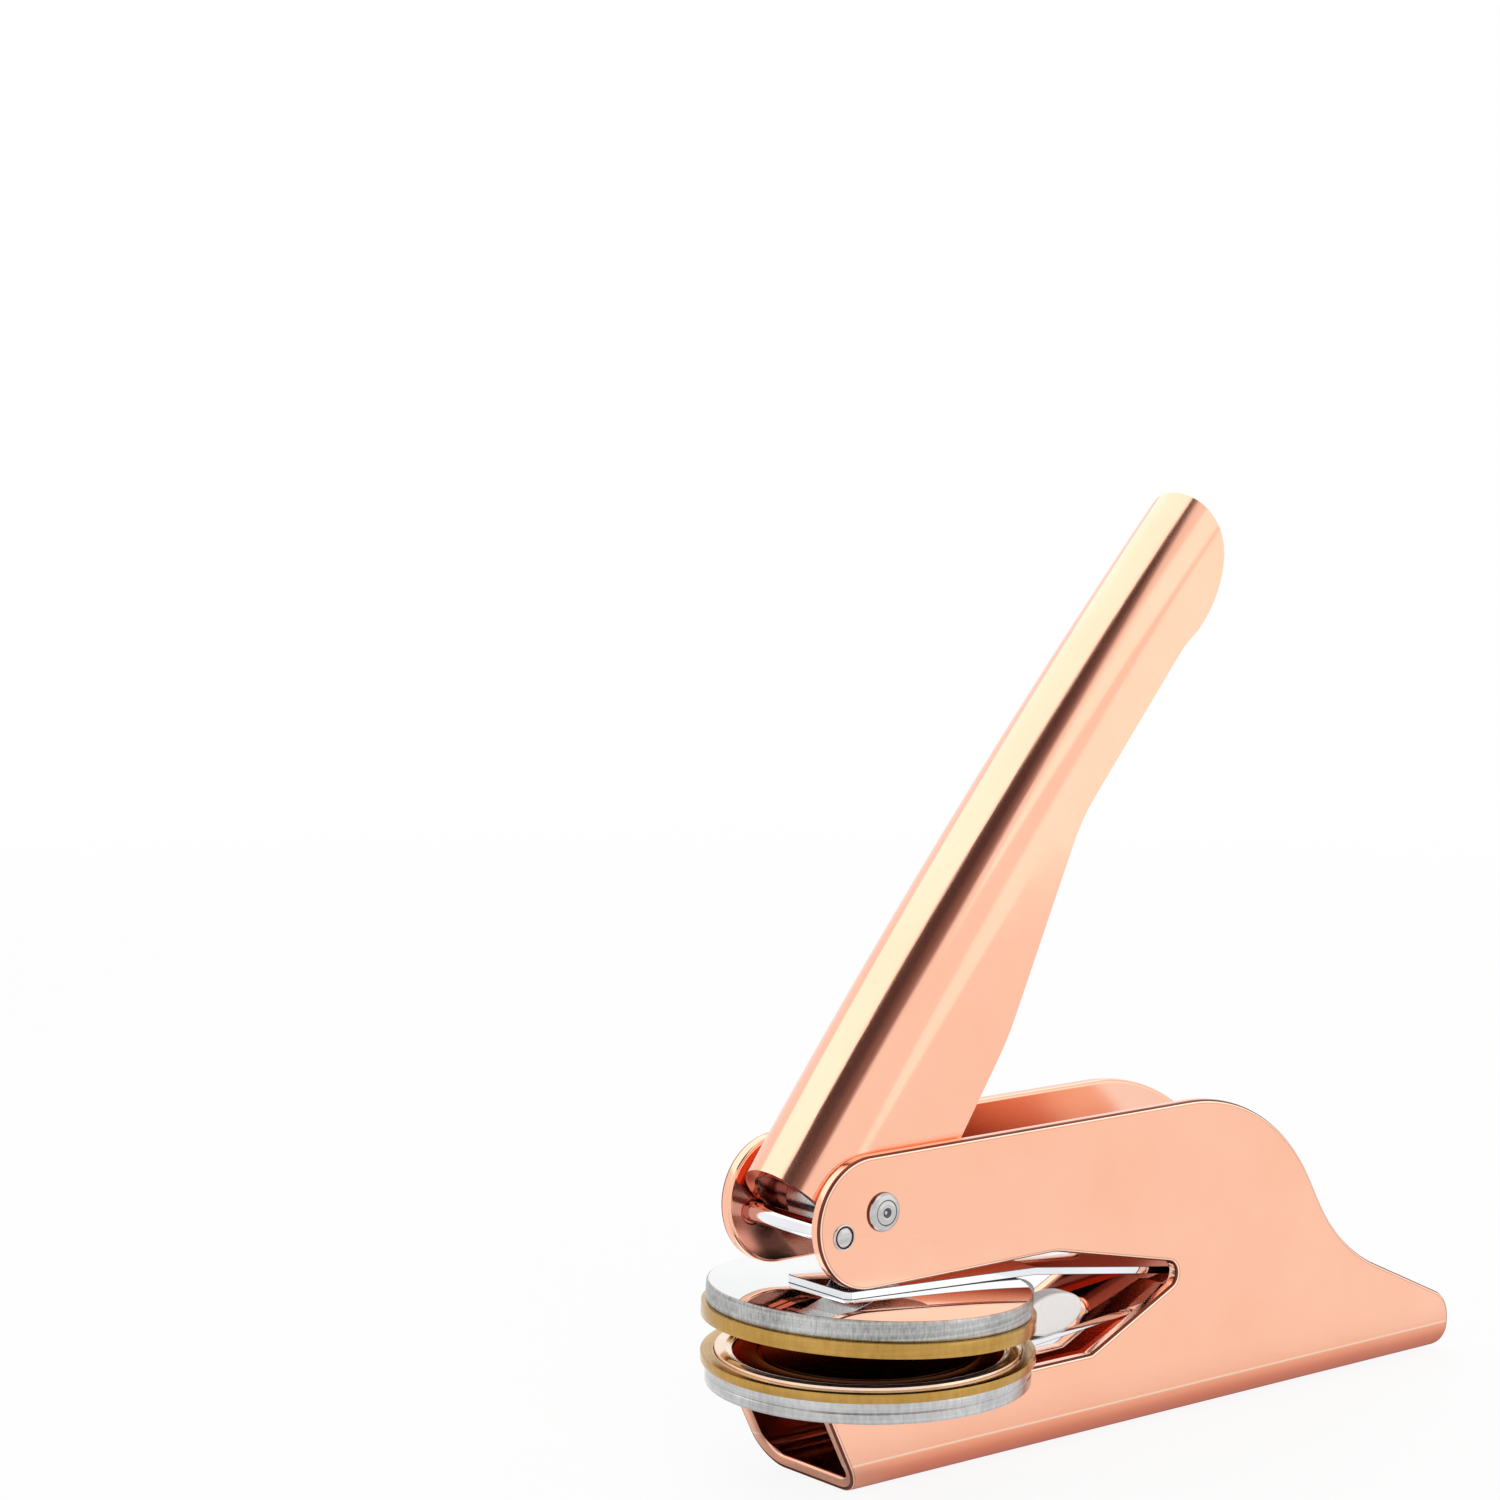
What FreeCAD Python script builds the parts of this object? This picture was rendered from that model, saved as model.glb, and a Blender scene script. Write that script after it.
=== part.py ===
import FreeCAD, Part
import math
import os

os.makedirs("parts", exist_ok=True)
doc = FreeCAD.newDocument("SealEmbosser")
Vector = FreeCAD.Vector

# Driving dimensions in millimetres and degrees.
# X runs from the dies to the tail, Y across, Z up; the origin lies under the die centre,
# on the face that the frame stands on.
sizes = {
    # folded frame
    "frameWidth": 23.2,
    "frameSheet": 2.2,
    "frameBend": 5.0,
    "frameTop": 50.1,
    "frameTail": 118.1,
    "tailHeight": 9.1,
    "tailCorner": 5.0,
    "tailKneeX": 90.8,
    "tailKneeZ": 21.6,
    "tailKneeRound": 30.0,
    "humpX": 74.4,
    "humpRound": 32.0,
    "noseFront": 18.9,
    "jawHeight": 13.4,
    "jawFront": 17.3,
    "jawToe": 10.9,
    "throatHeight": 30.5,
    "throatFloor": 35.2,
    "throatRoof": 27.6,
    "throatTipX": 57.9,
    "throatTipZ": 23.95,
    "throatTipRound": 2.1,
    "edgeBreak": 0.3,
    # pins through the frame
    "pivotX": -7.0,
    "pivotZ": 41.7,
    "pivotPin": 4.0,
    "pivotHead": 5.8,
    "pivotHeadHeight": 1.0,
    "stopX": -14.4,
    "stopZ": 39.05,
    "stopPin": 3.0,
    "stopHead": 3.9,
    "stopHeadHeight": 0.45,
    "pinClearance": 0.05,
    "rivetClearance": 0.05,
    # handle
    "handleAngle": 49.6,
    "handleStroke": 42.0,
    "sideClearance": 0.3,
    "handleSheet": 1.6,
    "heelClearance": 0.06,
    "handleReach": 124.6,
    "handleBow": 1170.0,
    "handleCrown": 15.4,
    "handleMiddle": 61.0,
    "skirtDepth": 8.2,
    "gripDepth": 3.5,
    "gripBead": 23.6,
    # press cam between the handle's cheeks
    "camSpacer": 2.5,
    "camHub": 4.8,
    "camClearance": 0.08,
    "camRivetS": 6.5,
    "camRivetN": -1.5,
    "camRivet": 3.0,
    "bushOutside": 6.0,
    "spacerOutside": 7.0,
    # spring clip that carries the dies
    "clipWidth": 14.4,
    "leafSheet": 1.2,
    "leafLanding": 2.6,
    "clipFront": 10.4,
    "clipRear": 90.0,
    "slotDepth": 2.4,
    "slotClearance": 0.1,
    "armDepth": 2.9,
    "armRise": 2.8,
    "flangeEnd": 44.5,
    "flangeTaper": 7.5,
    "armRiseStart": 26.0,
    "armRiseEnd": 60.0,
    "flexX": 78.4,
    "closingAngle": 3.1,
    "clipRivet": 3.0,
    "clipRivetHead": 4.4,
    "clipRivetPitch": 5.4,
    "bufferBehind": 6.6,
    "bufferSpan": 12.4,
    "bufferHeight": 6.4,
    "bufferLength": 14.0,
    "bufferFlat": 0.15,
    "bufferPin": 2.0,
    "bufferPinHead": 3.6,
    "bufferPinDepth": 3.5,
    # die holders and dies
    "dieRadius": 25.0,
    "dieOverhang": 0.65,
    "lowerHolder": 3.2,
    "upperHolder": 3.1,
    "lowerDie": 1.4,
    "upperDie": 2.2,
    "dieGap": 0.1,
    "dieFit": 0.1,
    "rimWidth": 2.0,
    "ringWidth": 2.6,
    "ringSeat": 0.9,
    "ringProud": 0.4,
    "ringClearance": 0.4,
    "faceThickness": 0.5,
    "counterClearance": 0.7,
    "counterProud": 0.35,
    "counterRecess": 0.6,
    "holderRivet": 3.0,
    "holderRivetX": 9.0,
    "holderRivetPitch": 12.0,
    "holderRivetHead": 4.8,
}
sheet = doc.addObject("Spreadsheet::Sheet", "Sizes")
for row, (alias, value) in enumerate(sizes.items(), start=1):
    sheet.set("A%d" % row, alias)
    sheet.set("B%d" % row, str(value))
    sheet.setAlias("B%d" % row, alias)
doc.recompute()


def size(alias):
    return float(sheet.get(alias))


def originPlane(body, role):
    return [feature for feature in body.Origin.OriginFeatures if feature.Role == role][0]


def newBody(label, placement=None):
    body = doc.addObject("PartDesign::Body", label)
    body.Label = label
    if placement is not None:
        body.Placement = placement
    return body


def newSketch(body, role, geometry, offset=None):
    """A sketch on one of the body's own planes, shifted along the plane's normal by an expression."""
    sketch = body.newObject("Sketcher::SketchObject", body.Name + "Sketch")
    sketch.AttachmentSupport = [(originPlane(body, role), "")]
    sketch.MapMode = "FlatFace"
    if offset is not None:
        sketch.setExpression("AttachmentOffset.Base.z", offset)
    sketch.addGeometry(geometry, False)
    return sketch


def addFeature(body, kind, sketch, length=None, symmetric=False, backwards=False):
    feature = body.newObject("PartDesign::" + kind, body.Name + kind)
    feature.Profile = sketch
    if symmetric:
        feature.SideType = "Symmetric"
    if length is None:
        feature.Type = "ThroughAll"
    else:
        feature.setExpression("Length", length)
    feature.Reversed = backwards
    doc.recompute()
    return feature


def roundedPath(corners, closed=True):
    """Lines through corners (x, y, radius), each corner rounded by a tangent arc."""
    count = len(corners)
    ends = []
    arcs = []
    for index, (x, y, radius) in enumerate(corners):
        here = Vector(x, y, 0)
        if radius == 0 or (not closed and index in (0, count - 1)):
            ends.append((here, here))
            arcs.append(None)
            continue
        before = Vector(corners[index - 1][0], corners[index - 1][1], 0) - here
        after = Vector(corners[(index + 1) % count][0], corners[(index + 1) % count][1], 0) - here
        before.normalize()
        after.normalize()
        half = before.getAngle(after) / 2
        reach = radius / math.tan(half)
        bisector = before + after
        bisector.normalize()
        centre = here + bisector * (radius / math.sin(half))
        ends.append((here + before * reach, here + after * reach))
        arcs.append(Part.Arc(ends[-1][0], centre - bisector * radius, ends[-1][1]))
    pieces = []
    for index in range(count if closed else count - 1):
        start = ends[index][1]
        finish = ends[(index + 1) % count][0]
        if start.distanceToPoint(finish) > 1e-6:
            pieces.append(Part.LineSegment(start, finish))
        if arcs[(index + 1) % count] is not None:
            pieces.append(arcs[(index + 1) % count])
    return pieces


def circles(places, radius):
    return [Part.Circle(Vector(x, y, 0), Vector(0, 0, 1), radius) for x, y in places]


def rectangle(left, bottom, right, top):
    return roundedPath([(left, bottom, 0), (right, bottom, 0), (right, top, 0), (left, top, 0)])


def strip(middle, thickness, radius):
    """Outline of a bent sheet of one thickness whose lower face follows the given points."""
    normals = []
    for start, finish in zip(middle, middle[1:]):
        run = Vector(finish[0] - start[0], finish[1] - start[1], 0)
        run.normalize()
        normals.append(Vector(-run.y, run.x, 0))
    upper = []
    for index, (x, y) in enumerate(middle):
        first = normals[max(index - 1, 0)]
        second = normals[min(index, len(normals) - 1)]
        offset = first + second
        offset = offset * (thickness / (1 + first.dot(second)))
        upper.append((x + offset.x, y + offset.y))
    last = len(middle) - 1
    corners = [(x, y, 0 if index in (0, last) else radius) for index, (x, y) in enumerate(middle)]
    corners += [(x, y, 0 if index in (0, last) else radius)
                for index, (x, y) in reversed(list(enumerate(upper)))]
    return roundedPath(corners)


def turned(label, outline, placement=None):
    """A body turned about its own Z axis from the outline of its half section."""
    body = newBody(label, placement)
    sketch = newSketch(body, "XZ_Plane", outline)
    feature = body.newObject("PartDesign::Revolution", body.Name + "Revolution")
    feature.Profile = sketch
    feature.ReferenceAxis = (sketch, ["V_Axis"])
    feature.Angle = 360
    doc.recompute()
    return body


def polygon(points):
    return roundedPath([(x, y, 0) for x, y in points])


def rivetOutline(shank, low, high, head=0.0, lowCap=0.0, highCap=0.0):
    """Half section of a rivet from low to high, with flat heads that rise by the caps beyond its ends."""
    points = [(0, low - lowCap)]
    if lowCap:
        points += [(head, low - lowCap), (head, low)]
    points += [(shank, low), (shank, high)]
    if highCap:
        points += [(head, high), (head, high + highCap)]
    return polygon(points + [(0, high + highCap)])


def breakEdges(body, chosen, amount, kind="Chamfer"):
    """Chamfer or fillet the edges of the body's tip for which chosen(edge) holds."""
    tip = body.Tip
    names = ["Edge%d" % (index + 1) for index, edge in enumerate(tip.Shape.Edges) if chosen(edge)]
    dressing = body.newObject("PartDesign::" + kind, body.Name + kind)
    dressing.Base = (tip, names)
    dressing.setExpression("Size" if kind == "Chamfer" else "Radius", amount)
    doc.recompute()
    return dressing


def flatEdge(edge, y):
    return abs(edge.BoundBox.YMin - y) < 1e-4 and abs(edge.BoundBox.YMax - y) < 1e-4


def outerEdge(edge):
    """Whether an edge of the folded sheet runs along the cut outline on the sheet's outer face."""
    bend = size("frameBend")
    for vertex in edge.Vertexes:
        past = max(abs(vertex.Y) - plateOutside + bend, 0)
        below = max(bend - vertex.Z, 0)
        if math.hypot(past, below) < bend - 1e-3:
            return False
    straight = edge.BoundBox.YLength < 1e-4 and edge.BoundBox.ZLength < 1e-4
    return not (straight and edge.BoundBox.ZMax < bend + 1e-3)


# Planes that several pieces share.
plateOutside = size("frameWidth") / 2
plateInside = plateOutside - size("frameSheet")
cheekOutside = plateInside - size("sideClearance")
cheekInside = cheekOutside - size("handleSheet")
lowerHolderTop = size("jawHeight") + size("lowerHolder")
lowerDieTop = lowerHolderTop + size("lowerDie")
upperDieFoot = lowerDieTop + size("dieGap")
upperHolderFoot = upperDieFoot + size("upperDie")
leafFoot = upperHolderFoot + size("upperHolder")
leafTop = leafFoot + size("leafSheet")
armTop = size("jawHeight") + size("slotDepth")
armRearTop = armTop + size("armRise")
flexZ = armRearTop + size("leafSheet") / 2
bufferX = size("dieRadius") + size("bufferBehind")
holderRadius = size("dieRadius") - size("dieOverhang")
ringOutside = size("dieRadius") - size("rimWidth") - size("dieFit")
ringInside = ringOutside - size("ringWidth")

holderHole = size("holderRivet") / 2 + size("rivetClearance")
clipHole = size("clipRivet") / 2 + size("rivetClearance")
camRivetHole = size("camRivet") / 2 + size("rivetClearance")

sideways = FreeCAD.Rotation(Vector(1, 0, 0), 90)
pivotPlace = Vector(size("pivotX"), 0, size("pivotZ"))
stopPlace = Vector(size("stopX"), 0, size("stopZ"))
handlePlacement = FreeCAD.Placement(pivotPlace, FreeCAD.Rotation(Vector(0, 1, 0), -size("handleAngle")))
# The upper die set is drawn closed and swings open about the clip's flex line.
openTurn = FreeCAD.Rotation(Vector(0, 1, 0), size("closingAngle"))
flexPlace = Vector(size("flexX"), 0, flexZ)
openPlacement = FreeCAD.Placement(Vector(), openTurn, flexPlace)


def makeFrame():
    """One sheet folded into a channel, its two plates cut to the jaw outline."""
    body = newBody("frame_channel")
    wall = size("frameSheet")
    bend = size("frameBend")
    inner = bend - wall
    height = size("frameTop")
    section = roundedPath([
        (-plateOutside, height, 0), (-plateOutside, 0, bend), (plateOutside, 0, bend),
        (plateOutside, height, 0), (plateInside, height, 0), (plateInside, wall, inner),
        (-plateInside, wall, inner), (-plateInside, height, 0)])
    run = size("frameTail") + size("noseFront")
    sketch = newSketch(body, "YZ_Plane", section, "-Sizes.noseFront")
    addFeature(body, "Pad", sketch, "Sizes.frameTail + Sizes.noseFront")

    nose = (size("frameTop") - size("throatHeight")) / 2 - 0.01
    outline = roundedPath([
        (-size("noseFront"), size("throatHeight"), nose),
        (-size("noseFront"), size("frameTop"), nose),
        (size("humpX"), size("frameTop"), size("humpRound")),
        (size("tailKneeX"), size("tailKneeZ"), size("tailKneeRound")),
        (size("frameTail"), size("tailHeight"), size("tailCorner")),
        (size("frameTail"), 0, 0),
        (-size("jawToe"), 0, 0),
        (-size("jawFront"), size("jawHeight"), 0.8),
        (size("throatFloor"), size("jawHeight"), 1.2),
        (size("throatTipX"), size("throatTipZ"), size("throatTipRound")),
        (size("throatRoof"), size("throatHeight"), 8.0)])
    margin = 2 * wall
    waste = rectangle(-size("noseFront") - margin, -margin, run + margin, height + margin)
    addFeature(body, "Pocket", newSketch(body, "XZ_Plane", waste + outline), symmetric=True)
    breakEdges(body, outerEdge, "Sizes.edgeBreak")

    hole = size("pinClearance")
    pivotHole = circles([(size("pivotX"), size("pivotZ"))], size("pivotPin") / 2 + hole)
    stopHole = circles([(size("stopX"), size("stopZ"))], size("stopPin") / 2 + hole)
    addFeature(body, "Pocket", newSketch(body, "XZ_Plane", pivotHole + stopHole), symmetric=True)
    return body


def heelCorners(top):
    """Ends of the lever's heel: tangent to the stop pin at rest, and clear of it through the whole stroke."""
    pin = handlePlacement.inverse().multVec(stopPlace)
    radius = size("stopPin") / 2
    reach = pin.Length - radius - 3.8 * size("heelClearance")
    run = pin - top
    swing = math.asin((radius + size("heelClearance")) / run.Length)
    heading = math.atan2(run.z, run.x) + swing
    ahead = Vector(math.cos(heading), 0, math.sin(heading))
    middle = -top.dot(ahead)
    short = math.sqrt(reach ** 2 - top.dot(top) + middle ** 2)
    upper = top + ahead * (middle - short)
    pressed = math.atan2(pin.z, pin.x) + math.asin(radius / pin.Length)
    last = pressed + math.radians(size("handleStroke") + 6)
    return upper, Vector(reach * math.cos(last), 0, reach * math.sin(last))


def makeHandle():
    """A channel with an arched back, bowed along its length, its cheeks cut to the lever's outline."""
    body = newBody("handle_lever", handlePlacement)
    crown = size("handleCrown")
    spring = crown - cheekOutside
    foot = -size("skirtDepth") - 4
    section = [
        Part.Arc(Vector(-cheekOutside, spring, 0), Vector(0, crown, 0), Vector(cheekOutside, spring, 0)),
        Part.LineSegment(Vector(cheekOutside, spring, 0), Vector(cheekOutside, foot, 0)),
        Part.LineSegment(Vector(cheekOutside, foot, 0), Vector(cheekInside, foot, 0)),
        Part.LineSegment(Vector(cheekInside, foot, 0), Vector(cheekInside, spring, 0)),
        Part.Arc(Vector(cheekInside, spring, 0), Vector(0, crown - size("handleSheet"), 0),
                 Vector(-cheekInside, spring, 0)),
        Part.LineSegment(Vector(-cheekInside, spring, 0), Vector(-cheekInside, foot, 0)),
        Part.LineSegment(Vector(-cheekInside, foot, 0), Vector(-cheekOutside, foot, 0)),
        Part.LineSegment(Vector(-cheekOutside, foot, 0), Vector(-cheekOutside, spring, 0))]
    sketch = newSketch(body, "YZ_Plane", section, "Sizes.handleMiddle")
    axisHeight = crown - size("handleBow")
    sketch.addGeometry(Part.LineSegment(Vector(-cheekOutside, axisHeight, 0),
                                        Vector(cheekOutside, axisHeight, 0)), True)
    sweep = body.newObject("PartDesign::Revolution", "HandleBow")
    sweep.Profile = sketch
    sweep.ReferenceAxis = (sketch, ["Axis0"])
    sweep.Midplane = True
    reach = size("handleReach")
    halfReach = max(reach - size("handleMiddle") + 3.9, size("handleMiddle") + 6.5)
    sweep.Angle = math.degrees(2 * halfReach / size("handleBow"))
    doc.recompute()

    top = Vector(-3.5, 0, crown + 2.6)
    upperHeel, lowerHeel = heelCorners(top)
    grip = size("gripDepth")
    depth = size("skirtDepth")
    outline = roundedPath([
        (top.x, top.z, 0),
        (upperHeel.x, upperHeel.z, 0),
        (lowerHeel.x, lowerHeel.z, 1.0),
        (-3.4, -depth, 2.5),
        (14.0, -depth, 25.0),
        (34.0, -5.9, 40.0),
        (68.0, grip, 30.0),
        (reach - size("gripBead"), grip, 10.0),
        (reach - size("gripBead") + 4.0, grip - 0.8, 10.0),
        (reach - 4.8, grip - 0.8, 17.0),
        (reach, crown + 3.1, 0)])
    middle = size("handleMiddle")
    waste = rectangle(middle - halfReach - 6, foot - 4, middle + halfReach + 6, crown + 6)
    addFeature(body, "Pocket", newSketch(body, "XZ_Plane", waste + outline), symmetric=True)

    pivotHole = circles([(0, 0)], size("pivotPin") / 2 + size("pinClearance"))
    rivetHole = circles([(size("camRivetS"), size("camRivetN"))], camRivetHole)
    addFeature(body, "Pocket", newSketch(body, "XZ_Plane", pivotHole + rivetHole), symmetric=True)
    return body


def camLift(turn):
    """Distance from the handle pivot to the leaf's upper face after the handle has turned by turn degrees."""
    tilt = math.radians(size("closingAngle") * (1 - turn / size("handleStroke")))
    offsetX = size("pivotX") - size("flexX")
    offsetZ = size("pivotZ") - flexZ
    return offsetX * math.sin(tilt) + offsetZ * math.cos(tilt) - (leafTop - flexZ)


def camPoint(turn):
    """Point of the cam that touches the flat leaf after turn degrees, in the handle's own axes."""
    gearing = 1 + size("closingAngle") / size("handleStroke")
    start = 270 - size("handleAngle") - size("closingAngle")
    normal = math.radians(start + turn * gearing)
    step = 0.01
    slope = (camLift(turn + step) - camLift(turn - step)) / math.radians(2 * step * gearing)
    lift = camLift(turn) - size("camClearance")
    return Vector(lift * math.cos(normal) - slope * math.sin(normal),
                  lift * math.sin(normal) + slope * math.cos(normal), 0)


def makeCam():
    """The press cam: its face is the envelope that turns the handle's swing into even closing of the dies."""
    body = newBody("press_cam", handlePlacement)
    steps = 12
    first = -2.0
    last = size("handleStroke") + 3.0
    face = [camPoint(first + (last - first) * index / steps) for index in range(steps + 1)]
    curve = Part.BSplineCurve()
    curve.interpolate(face)
    hub = size("camHub")
    rivetS = size("camRivetS")
    rivetN = size("camRivetN")
    heel = face[0]
    toe = face[-1]
    back = roundedPath([
        (toe.x, toe.y, 0),
        (toe.x + 4.5, toe.y + 2.5, 2.0),
        (rivetS + 3.8, rivetN - 3.0, 8.0),
        (rivetS + 3.8, hub, 4.0),
        (-hub, hub, hub),
        (-hub, -2.0, 2.0),
        (heel.x, heel.y, 0)], closed=False)
    sketch = newSketch(body, "XZ_Plane", [curve] + back)
    addFeature(body, "Pad", sketch, "2 * (%.9g - Sizes.camSpacer)" % cheekInside, symmetric=True)
    bushHole = circles([(0, 0)], size("bushOutside") / 2 + size("rivetClearance"))
    rivetHole = circles([(rivetS, rivetN)], camRivetHole)
    addFeature(body, "Pocket", newSketch(body, "XZ_Plane", bushHole + rivetHole), symmetric=True)
    return body


def makeSleeve(label, places, outside, inside, start, finish):
    """Sleeves across the machine, one for each (place, side), joined in one node."""
    members = []
    for index, (place, side) in enumerate(places):
        tube = doc.addObject("Part::Cut", "%s_%d" % (label, index))
        for role, radius in (("Base", outside / 2), ("Tool", inside / 2)):
            rod = doc.addObject("Part::Cylinder", "%s_%d_%s" % (label, index, role))
            rod.Radius = radius
            rod.Height = finish - start
            setattr(tube, role, rod)
        low = start if side > 0 else -finish
        tube.Placement = FreeCAD.Placement(place + Vector(0, low, 0), FreeCAD.Rotation(Vector(1, 0, 0), -90))
        members.append(tube)
    group = doc.addObject("Part::Compound", label)
    group.Links = members
    group.Label = label
    doc.recompute()
    return group


def makePivotRivet():
    """Rivet through both plates, with a head outside each."""
    outline = rivetOutline(size("pivotPin") / 2, -plateOutside, plateOutside, size("pivotHead") / 2,
                           size("pivotHeadHeight"), size("pivotHeadHeight"))
    return turned("pivot_rivet", outline, FreeCAD.Placement(pivotPlace, sideways))


def makeStopPin():
    """Chromed cross pin that the handle's heel rests on, with a thin flat head outside each plate."""
    outline = rivetOutline(size("stopPin") / 2, -plateOutside, plateOutside, size("stopHead") / 2,
                           size("stopHeadHeight"), size("stopHeadHeight"))
    return turned("stop_pin", outline, FreeCAD.Placement(stopPlace, sideways))


def makeLowerArm():
    """Stiff lower arm of the clip: a shallow channel, open below, that rises behind the dies."""
    body = newBody("lower_arm")
    top = armTop
    rear = armRearTop
    depth = size("armDepth")
    front = -size("clipFront")
    riseStart = size("armRiseStart")
    riseEnd = size("armRiseEnd")
    tail = size("clipRear")
    web = size("leafSheet")
    flangeEnd = size("flangeEnd")
    slope = size("armRise") / (riseEnd - riseStart)
    runout = top + (flangeEnd - riseStart) * slope - web - 0.02
    outline = roundedPath([
        (front, top - depth, 0), (flangeEnd - size("flangeTaper"), top - depth, 3),
        (flangeEnd, runout, 3), (riseEnd, rear - web, 12), (tail, rear - web, 0), (tail, rear, 0),
        (riseEnd, rear, 12), (riseStart, top, 12), (front, top, 0)])
    addFeature(body, "Pad", newSketch(body, "XZ_Plane", outline), "Sizes.clipWidth", symmetric=True)
    past = depth
    hollow = roundedPath([
        (front - past, top - depth - past, 0), (flangeEnd, top - depth - past, 0),
        (flangeEnd, runout + 0.02, 0), (riseStart, top - web, 12 - web), (front - past, top - web, 0)])
    addFeature(body, "Pocket", newSketch(body, "XZ_Plane", hollow),
               "Sizes.clipWidth - 2 * Sizes.leafSheet", symmetric=True)
    holes = circles(holderRivetPlaces(), holderHole)
    holes += circles([(x, 0) for x in clipRivetPlaces()], clipHole)
    addFeature(body, "Pocket", newSketch(body, "XY_Plane", holes), symmetric=True)
    pinHole = circles([(0, 0)], size("bufferPin") / 2 + size("rivetClearance"))
    sketch = newSketch(body, "XY_Plane", pinHole)
    sketch.AttachmentOffset = bufferPlacement()
    addFeature(body, "Pocket", sketch, symmetric=True)
    side = size("clipWidth") / 2

    def onTop(edge):
        middle = edge.CenterOfMass
        lift = min(max(middle.x - riseStart, 0), riseEnd - riseStart) * slope
        return flatEdge(edge, math.copysign(side, middle.y)) and middle.z > top + lift - web / 4

    breakEdges(body, onTop, "0.6 * Sizes.leafSheet")
    return body


def holderRivetPlaces():
    middle = size("holderRivetX")
    half = size("holderRivetPitch") / 2
    return [(middle - half, 0), (middle + half, 0)]


def bufferPlacement():
    """Seat of the buffer on the sloping web of the lower arm."""
    run = size("armRiseEnd") - size("armRiseStart")
    slope = math.atan2(size("armRise"), run)
    seat = armTop + (bufferX - size("armRiseStart")) * math.tan(slope)
    tilt = FreeCAD.Rotation(Vector(0, 1, 0), -math.degrees(slope))
    return FreeCAD.Placement(Vector(bufferX, 0, seat), tilt)


def clipRivetPlaces():
    pitch = size("clipRivetPitch")
    middle = (size("flexX") + size("clipRear")) / 2
    return (middle - pitch / 2, middle + pitch / 2)


def makeUpperLeaf():
    """Spring leaf over the upper die: flat over the holder, then down to the flex line."""
    body = newBody("upper_leaf", openPlacement)
    lift = size("dieGap")
    end = size("flexX") - lift / 2
    rear = armRearTop + lift
    bendX = holderRadius + size("leafLanding")
    lower = [(-size("clipFront"), leafFoot), (bendX, leafFoot), (end - 2, rear), (end, rear)]
    outline = strip(lower, size("leafSheet"), 8)
    addFeature(body, "Pad", newSketch(body, "XZ_Plane", outline), "Sizes.clipWidth", symmetric=True)
    holes = circles(holderRivetPlaces(), holderHole)
    addFeature(body, "Pocket", newSketch(body, "XY_Plane", holes), symmetric=True)
    front = -size("clipFront")
    breakEdges(body, lambda edge: abs(edge.CenterOfMass.x - front) < 1e-3
               and edge.BoundBox.XLength < 1e-3 and edge.BoundBox.YLength < 1e-3, "Sizes.leafSheet", "Fillet")
    return body


def makeLeafRoot():
    """Clamped end of the spring leaf, behind the flex line."""
    body = newBody("leaf_root")
    start = size("flexX") + size("dieGap") / 2
    foot = armRearTop
    outline = rectangle(start, foot, size("clipRear"), foot + size("leafSheet"))
    addFeature(body, "Pad", newSketch(body, "XZ_Plane", outline), "Sizes.clipWidth", symmetric=True)
    holes = circles([(x, 0) for x in clipRivetPlaces()], clipHole)
    addFeature(body, "Pocket", newSketch(body, "XY_Plane", holes), symmetric=True)
    return body


def makeRivetRow(label, outline, places, placement=None):
    """Identical turned rivets in one node, one for each (x, z) foot."""
    members = []
    for index, (x, z) in enumerate(places):
        rivet = turned("%s_%d" % (label, index), outline)
        move = FreeCAD.Placement(Vector(x, 0, z), FreeCAD.Rotation())
        rivet.Placement = placement.multiply(move) if placement is not None else move
        members.append(rivet)
    group = doc.addObject("Part::Compound", label)
    group.Links = members
    group.Label = label
    doc.recompute()
    return group


def makeClipRivets():
    """Rivets that clamp the tail of the leaf on the arm."""
    outline = rivetOutline(size("clipRivet") / 2, 0, 2 * size("leafSheet"), size("clipRivetHead") / 2,
                           0.8, 0.8)
    foot = armRearTop - size("leafSheet")
    return makeRivetRow("clip_rivets", outline, [(x, foot) for x in clipRivetPlaces()])


def makeLowerHolderRivets():
    """Rivets from the arm's hollow up to the face of the lower holder, with low heads under the web."""
    foot = armTop - size("leafSheet")
    outline = rivetOutline(size("holderRivet") / 2, 0, lowerHolderTop - foot, size("holderRivetHead") / 2, 0.7)
    return makeRivetRow("lower_holder_rivets", outline, [(x, foot) for x, _ in holderRivetPlaces()])


def makeUpperHolderRivets():
    """Rivets through the upper holder and the leaf, flush with the leaf's upper face."""
    outline = rivetOutline(size("holderRivet") / 2, 0, leafTop - upperHolderFoot)
    places = [(x, upperHolderFoot) for x, _ in holderRivetPlaces()]
    return makeRivetRow("upper_holder_rivets", outline, places, openPlacement)


def makeBuffer():
    """White cross block of oval section that lies on the lower arm, under the leaf."""
    body = newBody("paper_stop", bufferPlacement())
    half = size("bufferSpan") / 2
    rise = size("bufferHeight") / 2
    low = math.asin(size("bufferFlat") / rise - 1)
    oval = Part.Ellipse(Vector(0, rise - size("bufferFlat"), 0), half, rise)
    arc = Part.ArcOfEllipse(oval, low, math.pi - low)
    chord = Part.LineSegment(arc.EndPoint, arc.StartPoint)
    addFeature(body, "Pad", newSketch(body, "XZ_Plane", [arc, chord]), "Sizes.bufferLength", symmetric=True)
    hole = circles([(0, 0)], size("bufferPin") / 2 + size("rivetClearance"))
    depth = "Sizes.bufferPinDepth + Sizes.rivetClearance"
    addFeature(body, "Pocket", newSketch(body, "XY_Plane", hole), depth, backwards=True)
    return body


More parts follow.
